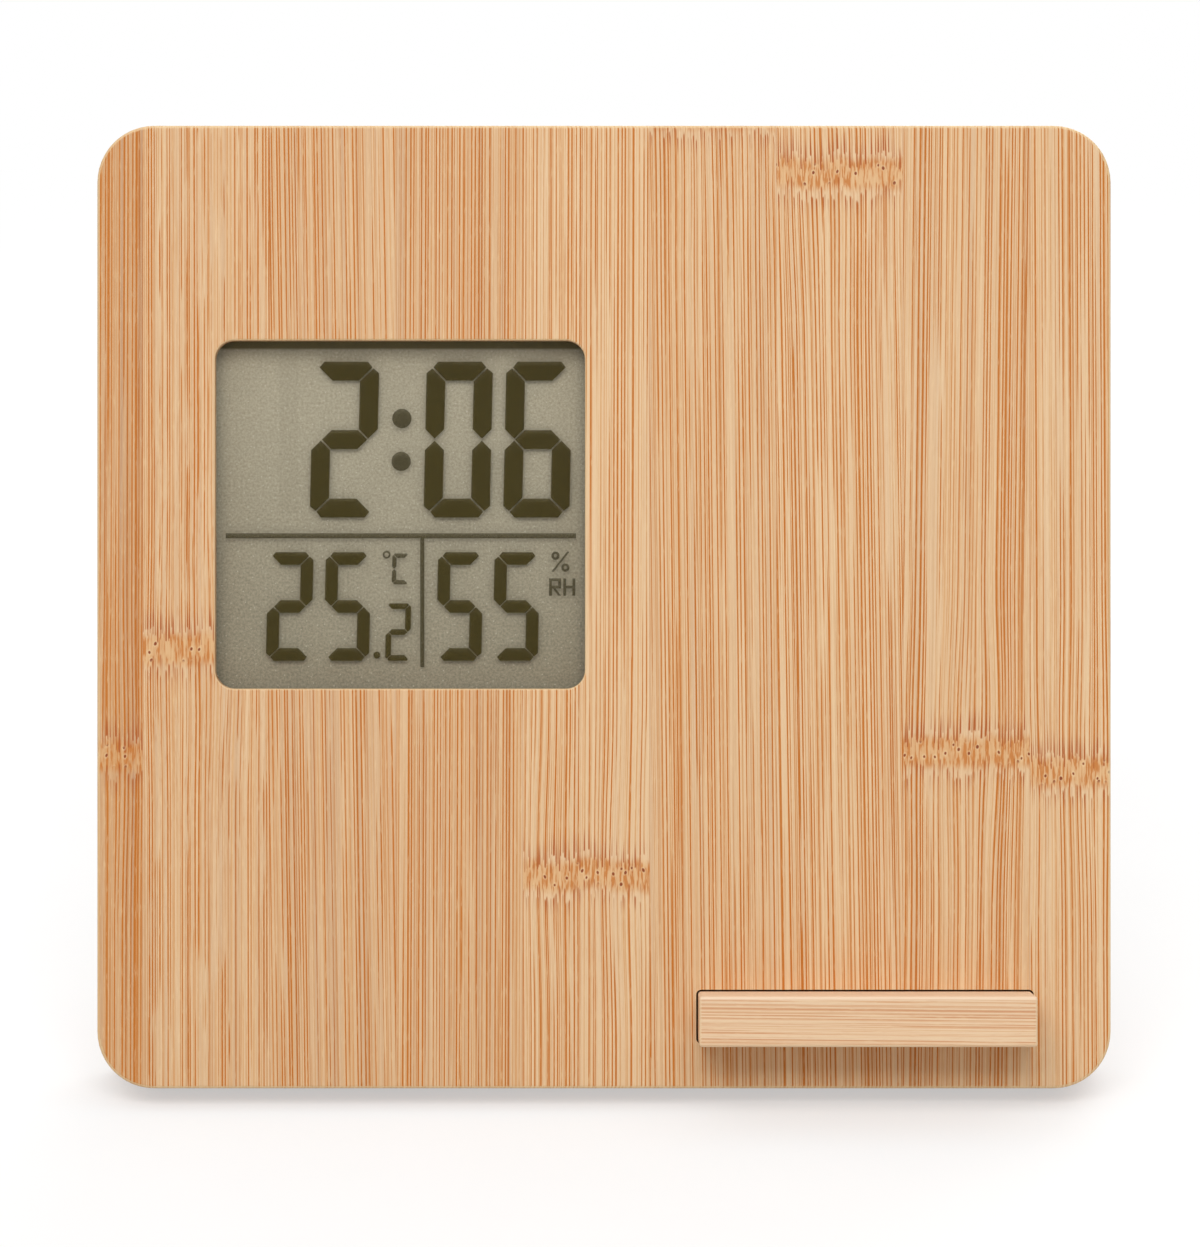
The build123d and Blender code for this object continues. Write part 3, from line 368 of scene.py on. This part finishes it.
# %% Bamboo colours
BAMBOO_LIGHT = tint(228, 194, 152)
BAMBOO_DEEP = tint(192, 134, 80)
BAMBOO_FIBRE = tint(191, 109, 20)
BAMBOO_AMBER = tint(211, 148, 78)
BAMBOO_PINK = tint(204, 155, 119)
BAMBOO_CREAM = tint(237, 208, 160)
BAMBOO_SCAR = tint(170, 86, 26)
BAMBOO_DOT = tint(136, 60, 12)
# Sanded tone of the bar, also used for the painted highlight on its top face
BAMBOO_SANDED_AND_HIGHLIGHT = tint(241, 213, 184)
BAMBOO_RUDDY = tint(232, 228, 236)

# %% [markdown]
# ### Strips and plies
# The strips on the face are known one by one: where each has its knuckle, how pale it is, and how soon
# its bundles come and go, which is its hurry. They could be nine materials, but then the seams would need
# cuts in the mesh. A stepped colour ramp holds the nine values instead, and the strips behind the face,
# which show only at the edges, draw theirs from white noise.

# %% Sort a spot into its strip
PLY = PANEL_T / 3
STRIP = 20.0
STRIP_START = 7.2
FIRST_STRIP = -5
JUST_INSIDE = 0.001
OFF_PANEL = 200.0
HIDDEN_LOWEST, HIDDEN_SPREAD = -60.0, 320.0
HIDDEN_TONE, HIDDEN_CHANGE = 0.4, 0.4
PLAIN_HURRY = 0.012
FULL_HURRY = 0.1
FACE_KNUCKLES = (53.1, 70.0, OFF_PANEL, OFF_PANEL, 34.2, 154.5, 145.2, 53.7, 50.7)
FACE_TONES = (0.12, 0.62, 0.5, 0.52, 0.88, 0.68, 0.82, 0.73, 0.83)
FACE_HURRIES = (0.015, 0.035, 0.015) + (PLAIN_HURRY,) * 6
print("strips:", STRIP, "mm wide, plies:", round(PLY, 2), "mm thick")


def by_strip(wood, strip, values, full):
    """One value for each strip of the face, kept in a stepped ramp as shares of the full value."""
    stops = [(i / len(values), [value / full] * 3 + [1]) for i, value in enumerate(values)]
    return wood.add("ShaderNodeValToRGB", {"stops": ["CONSTANT"] + stops},
                    {0: (strip + (0.5 - FIRST_STRIP)) / len(values)}) * full


def sort_strips(wood, spot, knuckles, tones, hurries):
    """Find the ply and the strip of a spot, with three chances, a knuckle, a tone and a hurry."""
    spot.ply_place = spot.w / PLY + JUST_INSIDE
    ply = spot.ply_place.floor()
    spot.strip_place = (spot.u - STRIP_START) / STRIP + (ply * 0.5).fraction()
    strip = spot.strip_place.floor()
    chance = wood.add("ShaderNodeTexWhiteNoise", {"noise_dimensions": "2D"},
                      {"Vector": wood.join(strip, ply)}, "Color")
    spot.luck = wood.add("ShaderNodeSeparateColor", None, {0: chance}, (0, 1, 2))
    on_face = ply < 0.5
    behind = 1 - on_face
    hidden_knuckle = spot.luck[0] * HIDDEN_SPREAD + HIDDEN_LOWEST
    hidden_tone = spot.luck[1] * HIDDEN_CHANGE + HIDDEN_TONE
    spot.knuckle = on_face * by_strip(wood, strip, knuckles, OFF_PANEL) + behind * hidden_knuckle
    spot.tone = on_face * by_strip(wood, strip, tones, 1.0) + behind * hidden_tone
    spot.hurry = on_face * by_strip(wood, strip, hurries, FULL_HURRY) + behind * PLAIN_HURRY


# %% [markdown]
# ### Fibre bundles
# A bundle is a thread of dark fibre, 0.2 to 0.4 mm thick, that runs up the cane, flares where the cane
# has a knuckle, and stops there. Wave textures would space the lines evenly. Voronoi cells across the
# strip place them more like nature does, and slow noise moves the cut through the cells, so that a line
# drifts in and out along the strip. Two sets of cells give thick lines with thin ones between.

# %% Bend the fibres
KNUCKLE_REACH = 28.0


def bend_fibres(wood, spot):
    """Find how far a spot is past its knuckle, and its place across and into the bent fibres."""
    # Luck times a large number takes every strip from a cane of its own
    luck = spot.luck
    wavy = wood.noise(wood.join(spot.u * 0.25, luck[2] * 40)) - 0.5
    spot.past = spot.v - spot.knuckle + wavy * 3.0
    near = wood.rise(abs(spot.past), 2.0, KNUCKLE_REACH, 1.0, 0.0)
    sway = wood.noise(wood.join(spot.u * 0.11, luck[1] * 50, spot.v * 0.008), detail=1.0) - 0.5
    layer = wood.noise(wood.join(spot.w * 1.2, luck[2] * 20)) * 1.2
    slope = (luck[0] - 0.5) * 0.03
    spot.fibre = spot.u + sway * near * 3 + layer + spot.v * slope + luck[2] * 300
    drift = wood.noise(wood.join(spot.fibre * 0.5, spot.v * spot.hurry, luck[1] * 60)) * 2.6
    spot.deep = spot.w / 0.8 + drift + luck[0] * 70


# %% Draw the bundles
# Pitch, half widths of the core and of the rim, all in mm, then weight and seed
BUNDLE_SETS = ((0.6, 0.04, 0.17, 1.2, 3.0), (0.4, 0.03, 0.12, 0.7, 9.0))


def grain(wood, spot, across, along, third, **looks):
    """Noise that follows the fibres, with its waves per millimetre across and along them."""
    return wood.noise(wood.join(spot.fibre * across, spot.v * along, third), **looks)


def bundles(wood, u, deep, pitch, seed):
    """Cells across a strip: distance from the bundle's middle in mm, its depth, and three chances."""
    spot = wood.join(u / pitch, deep + seed)
    core, chance = wood.add("ShaderNodeTexVoronoi", {"voronoi_dimensions": "2D"},
                            {"Vector": spot, "Scale": 1.0, "Randomness": 0.7}, ("Position", "Color"))
    gap = wood.add("ShaderNodeVectorMath", {"operation": "SUBTRACT"}, {0: spot, 1: core})
    across, below = wood.add("ShaderNodeSeparateXYZ", None, {0: gap}, (0, 1))
    luck = wood.add("ShaderNodeSeparateColor", None, {0: chance}, (0, 1, 2))
    return abs(across) * pitch, abs(below), luck


def draw_bundles(wood, spot, fine):
    """Find how dark the bundles are at a spot, and the tips where they stop at a knuckle."""
    spot.groups = grain(wood, spot, 0.16, 0.006, spot.w * 0.2)
    dense = wood.rise(spot.groups, 0.33, 0.66, 0.75, 1.05)
    spot.lines = 0.0
    spot.tips = 0.0
    for pitch, core, rim, weight, seed in BUNDLE_SETS:
        off, depth, luck = bundles(wood, spot.fibre / fine, spot.deep, pitch, seed)
        over = spot.past - luck[1] * 3.4 + 0.4
        under = luck[2] * -3.6 - 1.2 - spot.past
        bundle = wood.rise(off + wood.rise(depth, 0.25, 0.62) * rim, core, rim, 1.0, 0.0)
        shown = wood.rise(over, 0.0, 0.5).most(wood.rise(under, 0.0, 0.8))
        strength = wood.rise(luck[0], 0.0, 0.7, 0.3, 1.0) * dense * weight
        spot.lines = bundle * shown * strength + spot.lines
        ends = wood.rise(over, 0.0, 0.3) * wood.rise(over, 0.8, 4.5, 1.0, 0.0)
        restarts = wood.rise(under, 0.0, 0.5) * wood.rise(under, 0.6, 3.5, 1.0, 0.0)
        spot.tips = bundle * (ends + restarts * 0.7) * weight + spot.tips


# %% Colour the fibres
def colour_fibres(wood, spot, fine):
    """Colour of the strip without its knuckle: ground, pink shades, lines, pores and ruddy streaks."""
    spot.silk = grain(wood, spot, 2.6, 0.025, spot.w * 2.6, detail=3.0, rough=0.6)
    pores = grain(wood, spot, 4.5, 0.3, spot.w * 4.5, rough=0.6)
    ruddy = grain(wood, spot, 0.9, 0.006, spot.luck[0] * 30, detail=3.0, rough=0.6)
    worn = wood.rise(abs(spot.past), 20.0, 60.0, 1.0, 0.0) * spot.hurry * 9 + (1.1 - fine)
    colour = wood.blend((spot.tone + spot.silk * 1.6 - 0.25) / 1.5, BAMBOO_DEEP, BAMBOO_LIGHT)
    colour = wood.blend(wood.rise(spot.groups, 0.55, 0.8) * (0.75 - spot.tone * 0.6), colour, BAMBOO_PINK)
    colour = wood.blend(wood.rise(spot.lines, 0.0, 0.5) * 0.45, colour, BAMBOO_AMBER)
    colour = wood.blend(wood.rise(spot.lines, 0.25, 1.05), colour, BAMBOO_FIBRE)
    colour = wood.blend(wood.rise(pores, 0.55, 0.75) * worn, colour, BAMBOO_FIBRE)
    colour = wood.blend(wood.rise(pores, 0.28, 0.45, 0.35, 0.0), colour, BAMBOO_CREAM)
    streaks = wood.rise(ruddy, 0.45, 0.7) * (1.05 - spot.tone)
    return wood.blend(streaks, colour, BAMBOO_RUDDY, "MULTIPLY")


# %% [markdown]
# ### Knuckles and seams
# At a knuckle the fibres stop, and a band of short strokes with a row of pin holes shows in their place.
# The holes could be drilled, but they are filled and sanded flush on a real panel, so they are colour:
# one Voronoi cell each, kept to the skin of the panel. Glue seams are thin dark lines between strips and
# between plies, and a painted highlight runs along the sanded edge round the face, where it catches the
# light.

# %% Colour knuckles and seams
KNUCKLE_DROP = 0.6
DOT_PITCH, DOT_ROWS = 1.7, 2.2


def colour_knuckle(wood, spot, colour):
    """Lay the knuckle's strokes, scars and pin holes over a colour."""
    past = spot.past + KNUCKLE_DROP
    spot.inside = wood.rise(abs(past), 1.4, 3.2, 1.0, 0.0)
    spot.strokes = wood.noise(wood.join(spot.u * 3.2, spot.past * 0.32, spot.w * 2.0 + spot.luck[0] * 30),
                              detail=3.0)
    colour = wood.blend(spot.inside * 0.45, colour, BAMBOO_AMBER)
    colour = wood.blend(spot.inside * wood.rise(spot.strokes, 0.34, 0.46, 0.2, 0.0), colour, BAMBOO_CREAM)
    colour = wood.blend(spot.inside * wood.rise(spot.strokes, 0.48, 0.58) * 0.8, colour, BAMBOO_FIBRE)
    colour = wood.blend((spot.tips * 0.85).least(0.9), colour, BAMBOO_SCAR)

    dots, chance = wood.add("ShaderNodeTexVoronoi", {"voronoi_dimensions": "2D"},
                            {"Vector": wood.join(spot.u / DOT_PITCH, past / DOT_ROWS + 0.5), "Scale": 1.0},
                            ("Distance", "Color"))
    present, size = wood.add("ShaderNodeSeparateColor", None, {0: chance}, (0, 1))
    skin = wood.rise(abs(spot.w - PANEL_T / 2), PANEL_T / 2 - 0.5, PANEL_T / 2 - 0.2)
    row = wood.rise(abs(past), 1.3, 2.0, 1.0, 0.0) * (present > 0.35) * skin
    colour = wood.blend(wood.rise(dots, 0.14, 0.3, 0.35, 0.0) * row, colour, BAMBOO_CREAM)
    return wood.blend(wood.rise(dots / (size * 0.05 + 0.09), 0.7, 1.3, 1.0, 0.0) * row, colour, BAMBOO_DOT)


def colour_seams(wood, spot, colour):
    """Lay the glue seams, and a painted highlight along the sanded edge, over a colour."""
    beside = abs(spot.strip_place.fraction() - 0.5)
    behind = abs(spot.ply_place.fraction() - 0.5) * wood.rise(spot.w, 0.3, 0.8)
    spot.seam = wood.rise(beside, 0.4955, 0.4985).most(wood.rise(behind, 0.49, 0.498))
    colour = wood.blend(spot.seam * 0.28, colour, BAMBOO_SCAR)
    # Painted highlight: cream along the eased edge round the face, where it would catch the light
    painted_edge_highlight = wood.rise(spot.w, 0.005, 0.08) * wood.rise(spot.w, 0.35, 0.7, 1.0, 0.0)
    return wood.blend(painted_edge_highlight * 0.6, colour, BAMBOO_CREAM)


# %% Bamboo finish
# A start that no strip reaches: no painted highlight on a top face
NO_TOP_HIGHLIGHT = 500.0


def bamboo(name, ways, starts, knuckles, tones, hurries, fine=1.0, sanded=0.0, highlight_from=NO_TOP_HIGHLIGHT):
    """Pressed bamboo. Ways lead across, along and into the strips, from starts in mm."""
    wood = Finish(name)
    spot = SimpleNamespace()
    spot.u, spot.v, spot.w = [wood.along(way) - start for way, start in zip(ways, starts)]
    sort_strips(wood, spot, knuckles, tones, hurries)
    bend_fibres(wood, spot)
    draw_bundles(wood, spot, fine)
    colour = colour_fibres(wood, spot, fine)
    colour = colour_knuckle(wood, spot, colour)
    colour = colour_seams(wood, spot, colour)
    # Sanded tone over the whole piece, and a painted highlight on the bar's top face, paler as if lit from
    # above
    sanded_and_top_highlight = wood.rise(spot.u, highlight_from, highlight_from + 0.6, sanded, 0.85)
    colour = wood.blend(sanded_and_top_highlight, colour, BAMBOO_SANDED_AND_HIGHLIGHT)
    relief = spot.silk * 0.25 - spot.lines * 0.4 - spot.seam * 0.4 - spot.inside * spot.strokes * 0.5
    return wood.surface(Base_Color=colour, Roughness=0.46 + spot.lines * 0.1 + spot.silk * 0.08,
                        Specular_IOR_Level=0.35, Normal=wood.bump(relief, 0.04, 0.5))


# %% Dress the panel and the ledge bar
dress(bamboo("bamboo_panel", (RIGHT, UP, -FRONT), (0.0, FOOT, -FACE),
             FACE_KNUCKLES, FACE_TONES, FACE_HURRIES), "bamboo_body")

BAR_STRIPS = len(FACE_KNUCKLES)
BAR_IN_STRIP = 9.0
# Depth of the painted highlight on the bar's top face, in mm
BAR_TOP_HIGHLIGHT = 0.8
bar_low, bar_high = reach("ledge_bar", UP)
bar_front = reach("ledge_bar", FRONT)[1]
dress(bamboo("bamboo_bar", (UP, RIGHT, -FRONT), (bar_low - BAR_IN_STRIP, 0.0, -bar_front),
             (OFF_PANEL,) * BAR_STRIPS, (0.85,) * BAR_STRIPS, (0.02,) * BAR_STRIPS, fine=0.78, sanded=0.32,
             highlight_from=bar_high - bar_low + BAR_IN_STRIP - BAR_TOP_HIGHLIGHT), "ledge_bar")

# %% [markdown]
# ## The display
# A reflective display is a sandwich: two panes, dark crystal segments between them, and a grained foil
# behind. The segments could be painted on one plane, but in the picture each one has a soft shadow below
# it, because the light passes the segment and lands on the foil a little lower. So the panes are kept as
# clear solids, the segments let some light through, and the shadow falls by itself. The panes cast none:
# a ray may cross only so many clear faces before it counts as dark, and the segments need theirs. The foil
# carries a fine speckle, a few specks of dust and a faint stripe where an unused digit is wired. It also
# carries painted light: it is drawn lighter towards the top, and a band of painted shadow lies under the
# window's upper edge, where the recess shades it. The colon, the rules and the small signs are a little
# weaker.

# %% Foil
GHOST_FROM, GHOST_TO = -51.5, -48.5
GHOST_SOFT = 0.1
GHOST_FOOT = 91.0
# Painted shadow of the window's upper edge on the foil: where it starts and where it is full, in mm over
# the foot
RECESS_SHADOW_FROM, RECESS_SHADOW_FULL = 116.7, 117.2
foil = Finish("grained_foil")
foil_u, foil_v = foil.along(RIGHT), foil.along(UP)
speck_spot = foil.join(foil_u, foil_v)
speckle = foil.noise(speck_spot, 2.6, detail=3.0, rough=0.7)
cloud = foil.noise(speck_spot, 0.05)
# Painted light: the foil's tone climbs from its foot to its top
painted_light_rise = foil.rise(foil_v, *reach("lcd_reflector", UP))
foil_tone = (painted_light_rise * 0.45 + speckle * 1.7 + cloud * 0.3 - 0.75).most(0.0).least(1.0)
foil_colour = foil.blend(foil_tone, tint(140, 132, 110), tint(196, 187, 162))
dust = foil.add("ShaderNodeTexVoronoi", {"voronoi_dimensions": "2D"},
                {"Vector": speck_spot, "Scale": 0.45}, "Distance")
foil_colour = foil.blend(foil.rise(dust, 0.03, 0.06, 0.6, 0.0), foil_colour, tint(214, 207, 184))
ghost = (foil.rise(foil_u, GHOST_FROM - GHOST_SOFT, GHOST_FROM + GHOST_SOFT)
         * foil.rise(foil_u, GHOST_TO - GHOST_SOFT, GHOST_TO + GHOST_SOFT, 1.0, 0.0))
foil_colour = foil.blend(ghost * (foil_v > FOOT + GHOST_FOOT) * 0.07, foil_colour, tint(90, 83, 60))
# Painted shadow: a dark band on the foil where the recess's upper edge shades it
painted_recess_shadow = foil.rise(foil_v, FOOT + RECESS_SHADOW_FROM, FOOT + RECESS_SHADOW_FULL)
foil_colour = foil.blend(painted_recess_shadow, foil_colour, tint(112, 101, 66))
dress(foil.surface(Base_Color=foil_colour, Roughness=0.62 + speckle * 0.2, Specular_IOR_Level=0.2,
                   Normal=foil.bump(speckle, 0.03, 0.4)), "lcd_reflector")

# %% Segments
# Signs that the driver holds at a weaker level: middle and half size on the panel, as (u, v) in mm
COLON = ((-32.0, 102.6), (2.2, 6.0))
CELSIUS = ((-32.9, 82.5), (2.6, 3.4))
HUMIDITY = ((-6.6, 81.2), (2.8, 4.2))
RULE = ((-32.0, 87.35), (30.0, 0.8))
DIVIDER = ((-28.9, 77.0), (0.8, 10.5))
SEGMENT_ALPHA = 0.52
WEAK_LOSS = 0.25
dark = Finish("crystal_dark")
dark_u, dark_v = dark.along(RIGHT), dark.along(UP) - FOOT
dark_grain = dark.noise(dark.join(dark_u, dark_v), 2.2)
weak = 0.0
for (mid_u, mid_v), (half_u, half_v) in (COLON, CELSIUS, HUMIDITY, RULE, DIVIDER):
    weak = (abs(dark_u - mid_u) < half_u) * (abs(dark_v - mid_v) < half_v) + weak
dress(dark.surface(Base_Color=dark.blend(dark_grain, tint(70, 60, 18), tint(82, 71, 26)),
                   Roughness=0.5 + dark_grain * 0.1, Specular_IOR_Level=0.05,
                   Alpha=SEGMENT_ALPHA + dark_grain * 0.04 - weak.least(1.0) * WEAK_LOSS), "lcd_segments")

# %% Panes
PANES = ("lcd_front_glass", "lcd_rear_glass")
pane = Finish("clear_pane")
haze = pane.noise(pane.join(pane.along(RIGHT), pane.along(UP)), 0.4, detail=3.0)
dress(pane.surface(Base_Color=pane.blend(haze, tint(70, 72, 66), tint(96, 98, 90)),
                   Roughness=0.22 + haze * 0.1, Alpha=0.012 + haze * 0.012), *PANES)
for name in PANES:
    nodes[name].visible_shadow = False

# %% [markdown]
# ## Moulded plastic, rubber and keys
# The rear cover, the stand and the battery door are moulded in a warm ivory plastic with a fine spark
# grain. Grain could be a displacement, but at 0.3 mm it is only ever seen as broken gloss, so it is a
# bump. The grey keys are smoother and show finger marks, the black inner mouldings are plain, and the
# pads are rubber, which looks dusty and hardly shines. All of them come from one recipe with other values.

# %% Moulding recipe
def moulding(name, dark_tint, light_tint, rough, grain_mm, grain_depth, smudge):
    """Moulded plastic or rubber with a fine grain and a slow change of tone."""
    skin = Finish(name)
    spot = skin.in_mm()
    spark = skin.add("ShaderNodeTexVoronoi", {"feature": "SMOOTH_F1"},
                     {"Vector": spot, "Scale": 1.0 / grain_mm, "Smoothness": 0.6}, "Distance")
    flow = skin.noise(spot, 0.045, detail=3.0)
    marks = skin.rise(skin.noise(spot, 0.16, detail=4.0, rough=0.6), 0.45, 0.75)
    tone = (flow * 0.8 + spark * 0.25 - marks * smudge).most(0.0)
    return skin.surface(Base_Color=skin.blend(tone, tint(*dark_tint), tint(*light_tint)),
                        Roughness=rough + spark * 0.12 - marks * 0.1,
                        Specular_IOR_Level=0.4, Normal=skin.bump(spark, grain_depth, 0.5))


# %% Mouldings
# Finish, darker and lighter tint, roughness, size and depth of the grain in mm, finger marks, and pieces
MOULDINGS = (
    ("ivory_plastic", (219, 211, 194), (234, 228, 213), 0.5, 0.35, 0.03, 0.15,
     ("rear_cover", "battery_door", "kickstand")),
    ("soft_grey_key", (70, 70, 73), (98, 98, 101), 0.42, 0.3, 0.012, 0.35,
     ("button_down", "button_up", "button_set", "button_mode")),
    ("black_moulding", (36, 36, 38), (56, 56, 58), 0.45, 0.4, 0.02, 0.1,
     ("lcd_frame", "tact_switches", "buzzer")),
    ("dusty_rubber", (46, 46, 47), (76, 75, 74), 0.85, 0.22, 0.03, 0.0,
     ("base_pads", "foot_pad", "zebra_strip")),
    ("white_moulding", (214, 214, 208), (238, 238, 234), 0.4, 0.5, 0.01, 0.1, ("climate_sensor",)),
    ("cast_epoxy", (22, 22, 23), (38, 38, 40), 0.2, 1.2, 0.03, 0.1, ("controller_blob",)),
    ("red_insulation", (172, 38, 30), (206, 58, 46), 0.4, 0.5, 0.01, 0.2, ("lead_positive",)),
    ("black_insulation", (30, 30, 32), (52, 52, 54), 0.4, 0.5, 0.01, 0.2, ("lead_negative",)),
)
for *recipe, names in MOULDINGS:
    dress(moulding(*recipe), *names)

# %% [markdown]
# ## Metal, board and cells
# The hinge pin and the screws are zinc-plated steel with turning marks, and the contacts are nickel.
# A metal is mostly its roughness, so the marks go there and only a little into the colour. The board is
# green with copper tracks under its mask. Each cell has a plain sleeve with a lighter band at the nub and
# bare metal ends, placed by its height along the cell.

# %% Metals
def plated(name, low_tint, high_tint, rough, way):
    """Plated metal with fine marks across a direction and a few dull spots."""
    metal = Finish(name)
    marks = metal.noise(metal.join(metal.along(way) * 9))
    dull = metal.rise(metal.noise(metal.in_mm(), 0.5, detail=4.0), 0.45, 0.7)
    colour = metal.blend((marks * 0.7 + dull * 0.3).least(1.0), high_tint, low_tint)
    return metal.surface(Base_Color=colour, Metallic=1.0, Roughness=rough + marks * 0.14 + dull * 0.15,
                         Normal=metal.bump(marks, 0.01, 0.4))


dress(plated("zinc_steel", tint(158, 158, 160), tint(205, 206, 208), 0.25, RIGHT),
      "hinge_pin", "cover_screws", "board_screws")
dress(plated("nickel_plate", tint(178, 174, 166), tint(220, 216, 206), 0.16, UP),
      "contact_positive", "contact_negative", "contact_bridge", "quartz_crystal")

# %% Circuit board
LANES = 5
board = Finish("green_mask")
board_spot = board.join(board.along(RIGHT), board.along(UP))
lane = board.add("ShaderNodeTexVoronoi",
                 {"voronoi_dimensions": "2D", "distance": "CHEBYCHEV", "feature": "F1"},
                 {"Vector": board_spot, "Scale": 0.14}, "Distance")
track = board.rise(abs((lane * LANES).fraction() - 0.5), 0.28, 0.33)
mottle = board.noise(board_spot, 1.4, detail=3.0)
mask_colour = board.blend(track, tint(28, 96, 52), tint(58, 132, 70))
mask_colour = board.blend(mottle * 0.35, mask_colour, tint(20, 70, 40))
dress(board.surface(Base_Color=mask_colour, Roughness=0.28 + mottle * 0.15,
                    Normal=board.bump(track, 0.03, 0.6)), "main_board")

# %% Cells
BAND_FROM = 12.2
BARE_NUB = 1.65
BARE_BASE = 0.55
EDGE_SOFT = 0.05


def cell(node, nub_up):
    """Sleeve of a cell: a dark blue body, a pale band at the nub, and bare metal at both ends."""
    sleeve = Finish(node + "_sleeve")
    low, high = reach(node, UP)
    height = sleeve.along(UP) - low if nub_up else high - sleeve.along(UP)
    from_nub = high - low - height
    rub_spot = sleeve.join(sleeve.along(RIGHT) * 2, height * 0.25, sleeve.along(FRONT) * 2)
    scuff = sleeve.noise(rub_spot, detail=4.0)
    band = sleeve.rise(from_nub, BAND_FROM - 2 * EDGE_SOFT, BAND_FROM + 2 * EDGE_SOFT, 1.0, 0.0)
    nub = sleeve.rise(from_nub, BARE_NUB - EDGE_SOFT, BARE_NUB + EDGE_SOFT, 1.0, 0.0)
    base = sleeve.rise(height, BARE_BASE - EDGE_SOFT, BARE_BASE + EDGE_SOFT, 1.0, 0.0)
    bare = nub.most(base)
    colour = sleeve.blend(band, tint(42, 66, 104), tint(196, 190, 176))
    colour = sleeve.blend(sleeve.rise(scuff, 0.55, 0.8) * 0.3, colour, tint(150, 150, 150))
    colour = sleeve.blend(bare, colour, tint(212, 212, 212))
    dress(sleeve.surface(Base_Color=colour, Metallic=bare, Roughness=0.3 + scuff * 0.15 - bare * 0.1,
                         Normal=sleeve.bump(scuff, 0.02, 0.3)), node)


cell("battery_left", True)
cell("battery_right", False)

# %% [markdown]
# ## Moulded signs
# Small raised signs tell the keys apart: an arrow up, an arrow down, a ring for set and three bars for
# mode, stamped grey so that they stand out from the ivory cover. The battery door has finger ribs and an
# arrow in its own plastic. A decal would need an image, and a bump would be flat from the side, so each
# sign is a thin prism whose outline is drawn on the rear face and whose edges are bevelled. Signs on the
# door ride on the door, the rest on the case.

# %% Raised signs
SIGN_T = 0.3
SIGN_SUNK = 0.05
SIGN_EDGE = 0.08


def raised_sign(name, outlines, body, finish, hole=None):
    """Thin prisms on the rear face, as lists of (u, v); a hole has as many corners as its outline."""
    shape = bmesh.new()
    for outline in outlines:
        rings = [[[shape.verts.new(on_panel(u, v, level)) for u, v in loop]
                  for level in (PANEL_T - SIGN_SUNK, PANEL_T + SIGN_T)]
                 for loop in (outline, hole) if loop]
        pairs = [(i, (i + 1) % len(outline)) for i in range(len(outline))]
        for foot, crown in rings:
            for i, j in pairs:
                shape.faces.new((foot[i], foot[j], crown[j], crown[i]))
        for outer, *inner in zip(*rings):
            if inner:
                for i, j in pairs:
                    shape.faces.new((outer[i], outer[j], inner[0][j], inner[0][i]))
            else:
                shape.faces.new(outer)
    bmesh.ops.recalc_face_normals(shape, faces=shape.faces)
    mesh = bpy.data.meshes.new(name)
    shape.to_mesh(mesh)
    shape.free()
    mesh.materials.append(finish)
    sign = bpy.data.objects.new(name, mesh)
    bpy.context.scene.collection.objects.link(sign)
    edge = sign.modifiers.new("eased_edge", "BEVEL")
    edge.width = SIGN_EDGE * MM
    edge.segments = 2
    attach(sign, body)
    print(name, "rides on", body, "with", len(mesh.polygons), "faces")


# %% Outlines
def bar(u, v, width, height):
    """Corners of an upright rectangle about a spot."""
    return [(u - width / 2, v - height / 2), (u + width / 2, v - height / 2),
            (u + width / 2, v + height / 2), (u - width / 2, v + height / 2)]


def circle(u, v, radius, steps=32, first=0.0):
    """Corners of a regular outline about a spot; the first corner lies at an angle in degrees."""
    turns = [math.radians(first) + 2 * math.pi * i / steps for i in range(steps)]
    return [(u + radius * math.cos(turn), v + radius * math.sin(turn)) for turn in turns]


def arrow(u, v, size, turn):
    """Corners of a triangle about a spot, turned in degrees; 90 points up."""
    return circle(u, v, size, 3, turn)


def middle(node):
    """Place of a node's middle on the panel, as u and v."""
    return sum(reach(node, RIGHT)) / 2, sum(reach(node, UP)) / 2 - FOOT


# %% Signs beside the keys
SIGN_SIDE = 8.0
ARROW_R = 1.7
RING_R, RING_HOLE_R = 1.6, 1.0
MODE_BAR = (3.2, 0.55)
MODE_STEP = 1.1
stamped = moulding("stamped_grey", (112, 110, 106), (138, 136, 130), 0.55, 0.3, 0.01, 0.2)
key_v = {key: middle("button_" + key)[1] for key in ("up", "down", "set", "mode")}
sign_u = middle("button_up")[0] + SIGN_SIDE
raised_sign("sign_up", [arrow(sign_u, key_v["up"], ARROW_R, 90)], "case", stamped)
raised_sign("sign_down", [arrow(sign_u, key_v["down"], ARROW_R, -90)], "case", stamped)
raised_sign("sign_set", [circle(sign_u, key_v["set"], RING_R)], "case", stamped,
            circle(sign_u, key_v["set"], RING_HOLE_R))
raised_sign("sign_mode", [bar(sign_u, key_v["mode"] + step, *MODE_BAR)
                          for step in (-MODE_STEP, 0.0, MODE_STEP)], "case", stamped)

# %% Finger ribs on the door
RIB_COUNT = 3
RIB_FIRST, RIB_STEP = 8.0, 1.8
RIB = (0.7, 9.0)
DOOR_ARROW, DOOR_ARROW_R = 14.6, 1.6
ivory = nodes["battery_door"].data.materials[0]
door_free = reach("battery_door", RIGHT)[0]
door_v = middle("battery_door")[1]
ribs = [bar(door_free + RIB_FIRST + RIB_STEP * i, door_v, *RIB) for i in range(RIB_COUNT)]
ribs.append(arrow(door_free + DOOR_ARROW, door_v, DOOR_ARROW_R, 180))
raised_sign("door_ribs", ribs, "door", ivory)
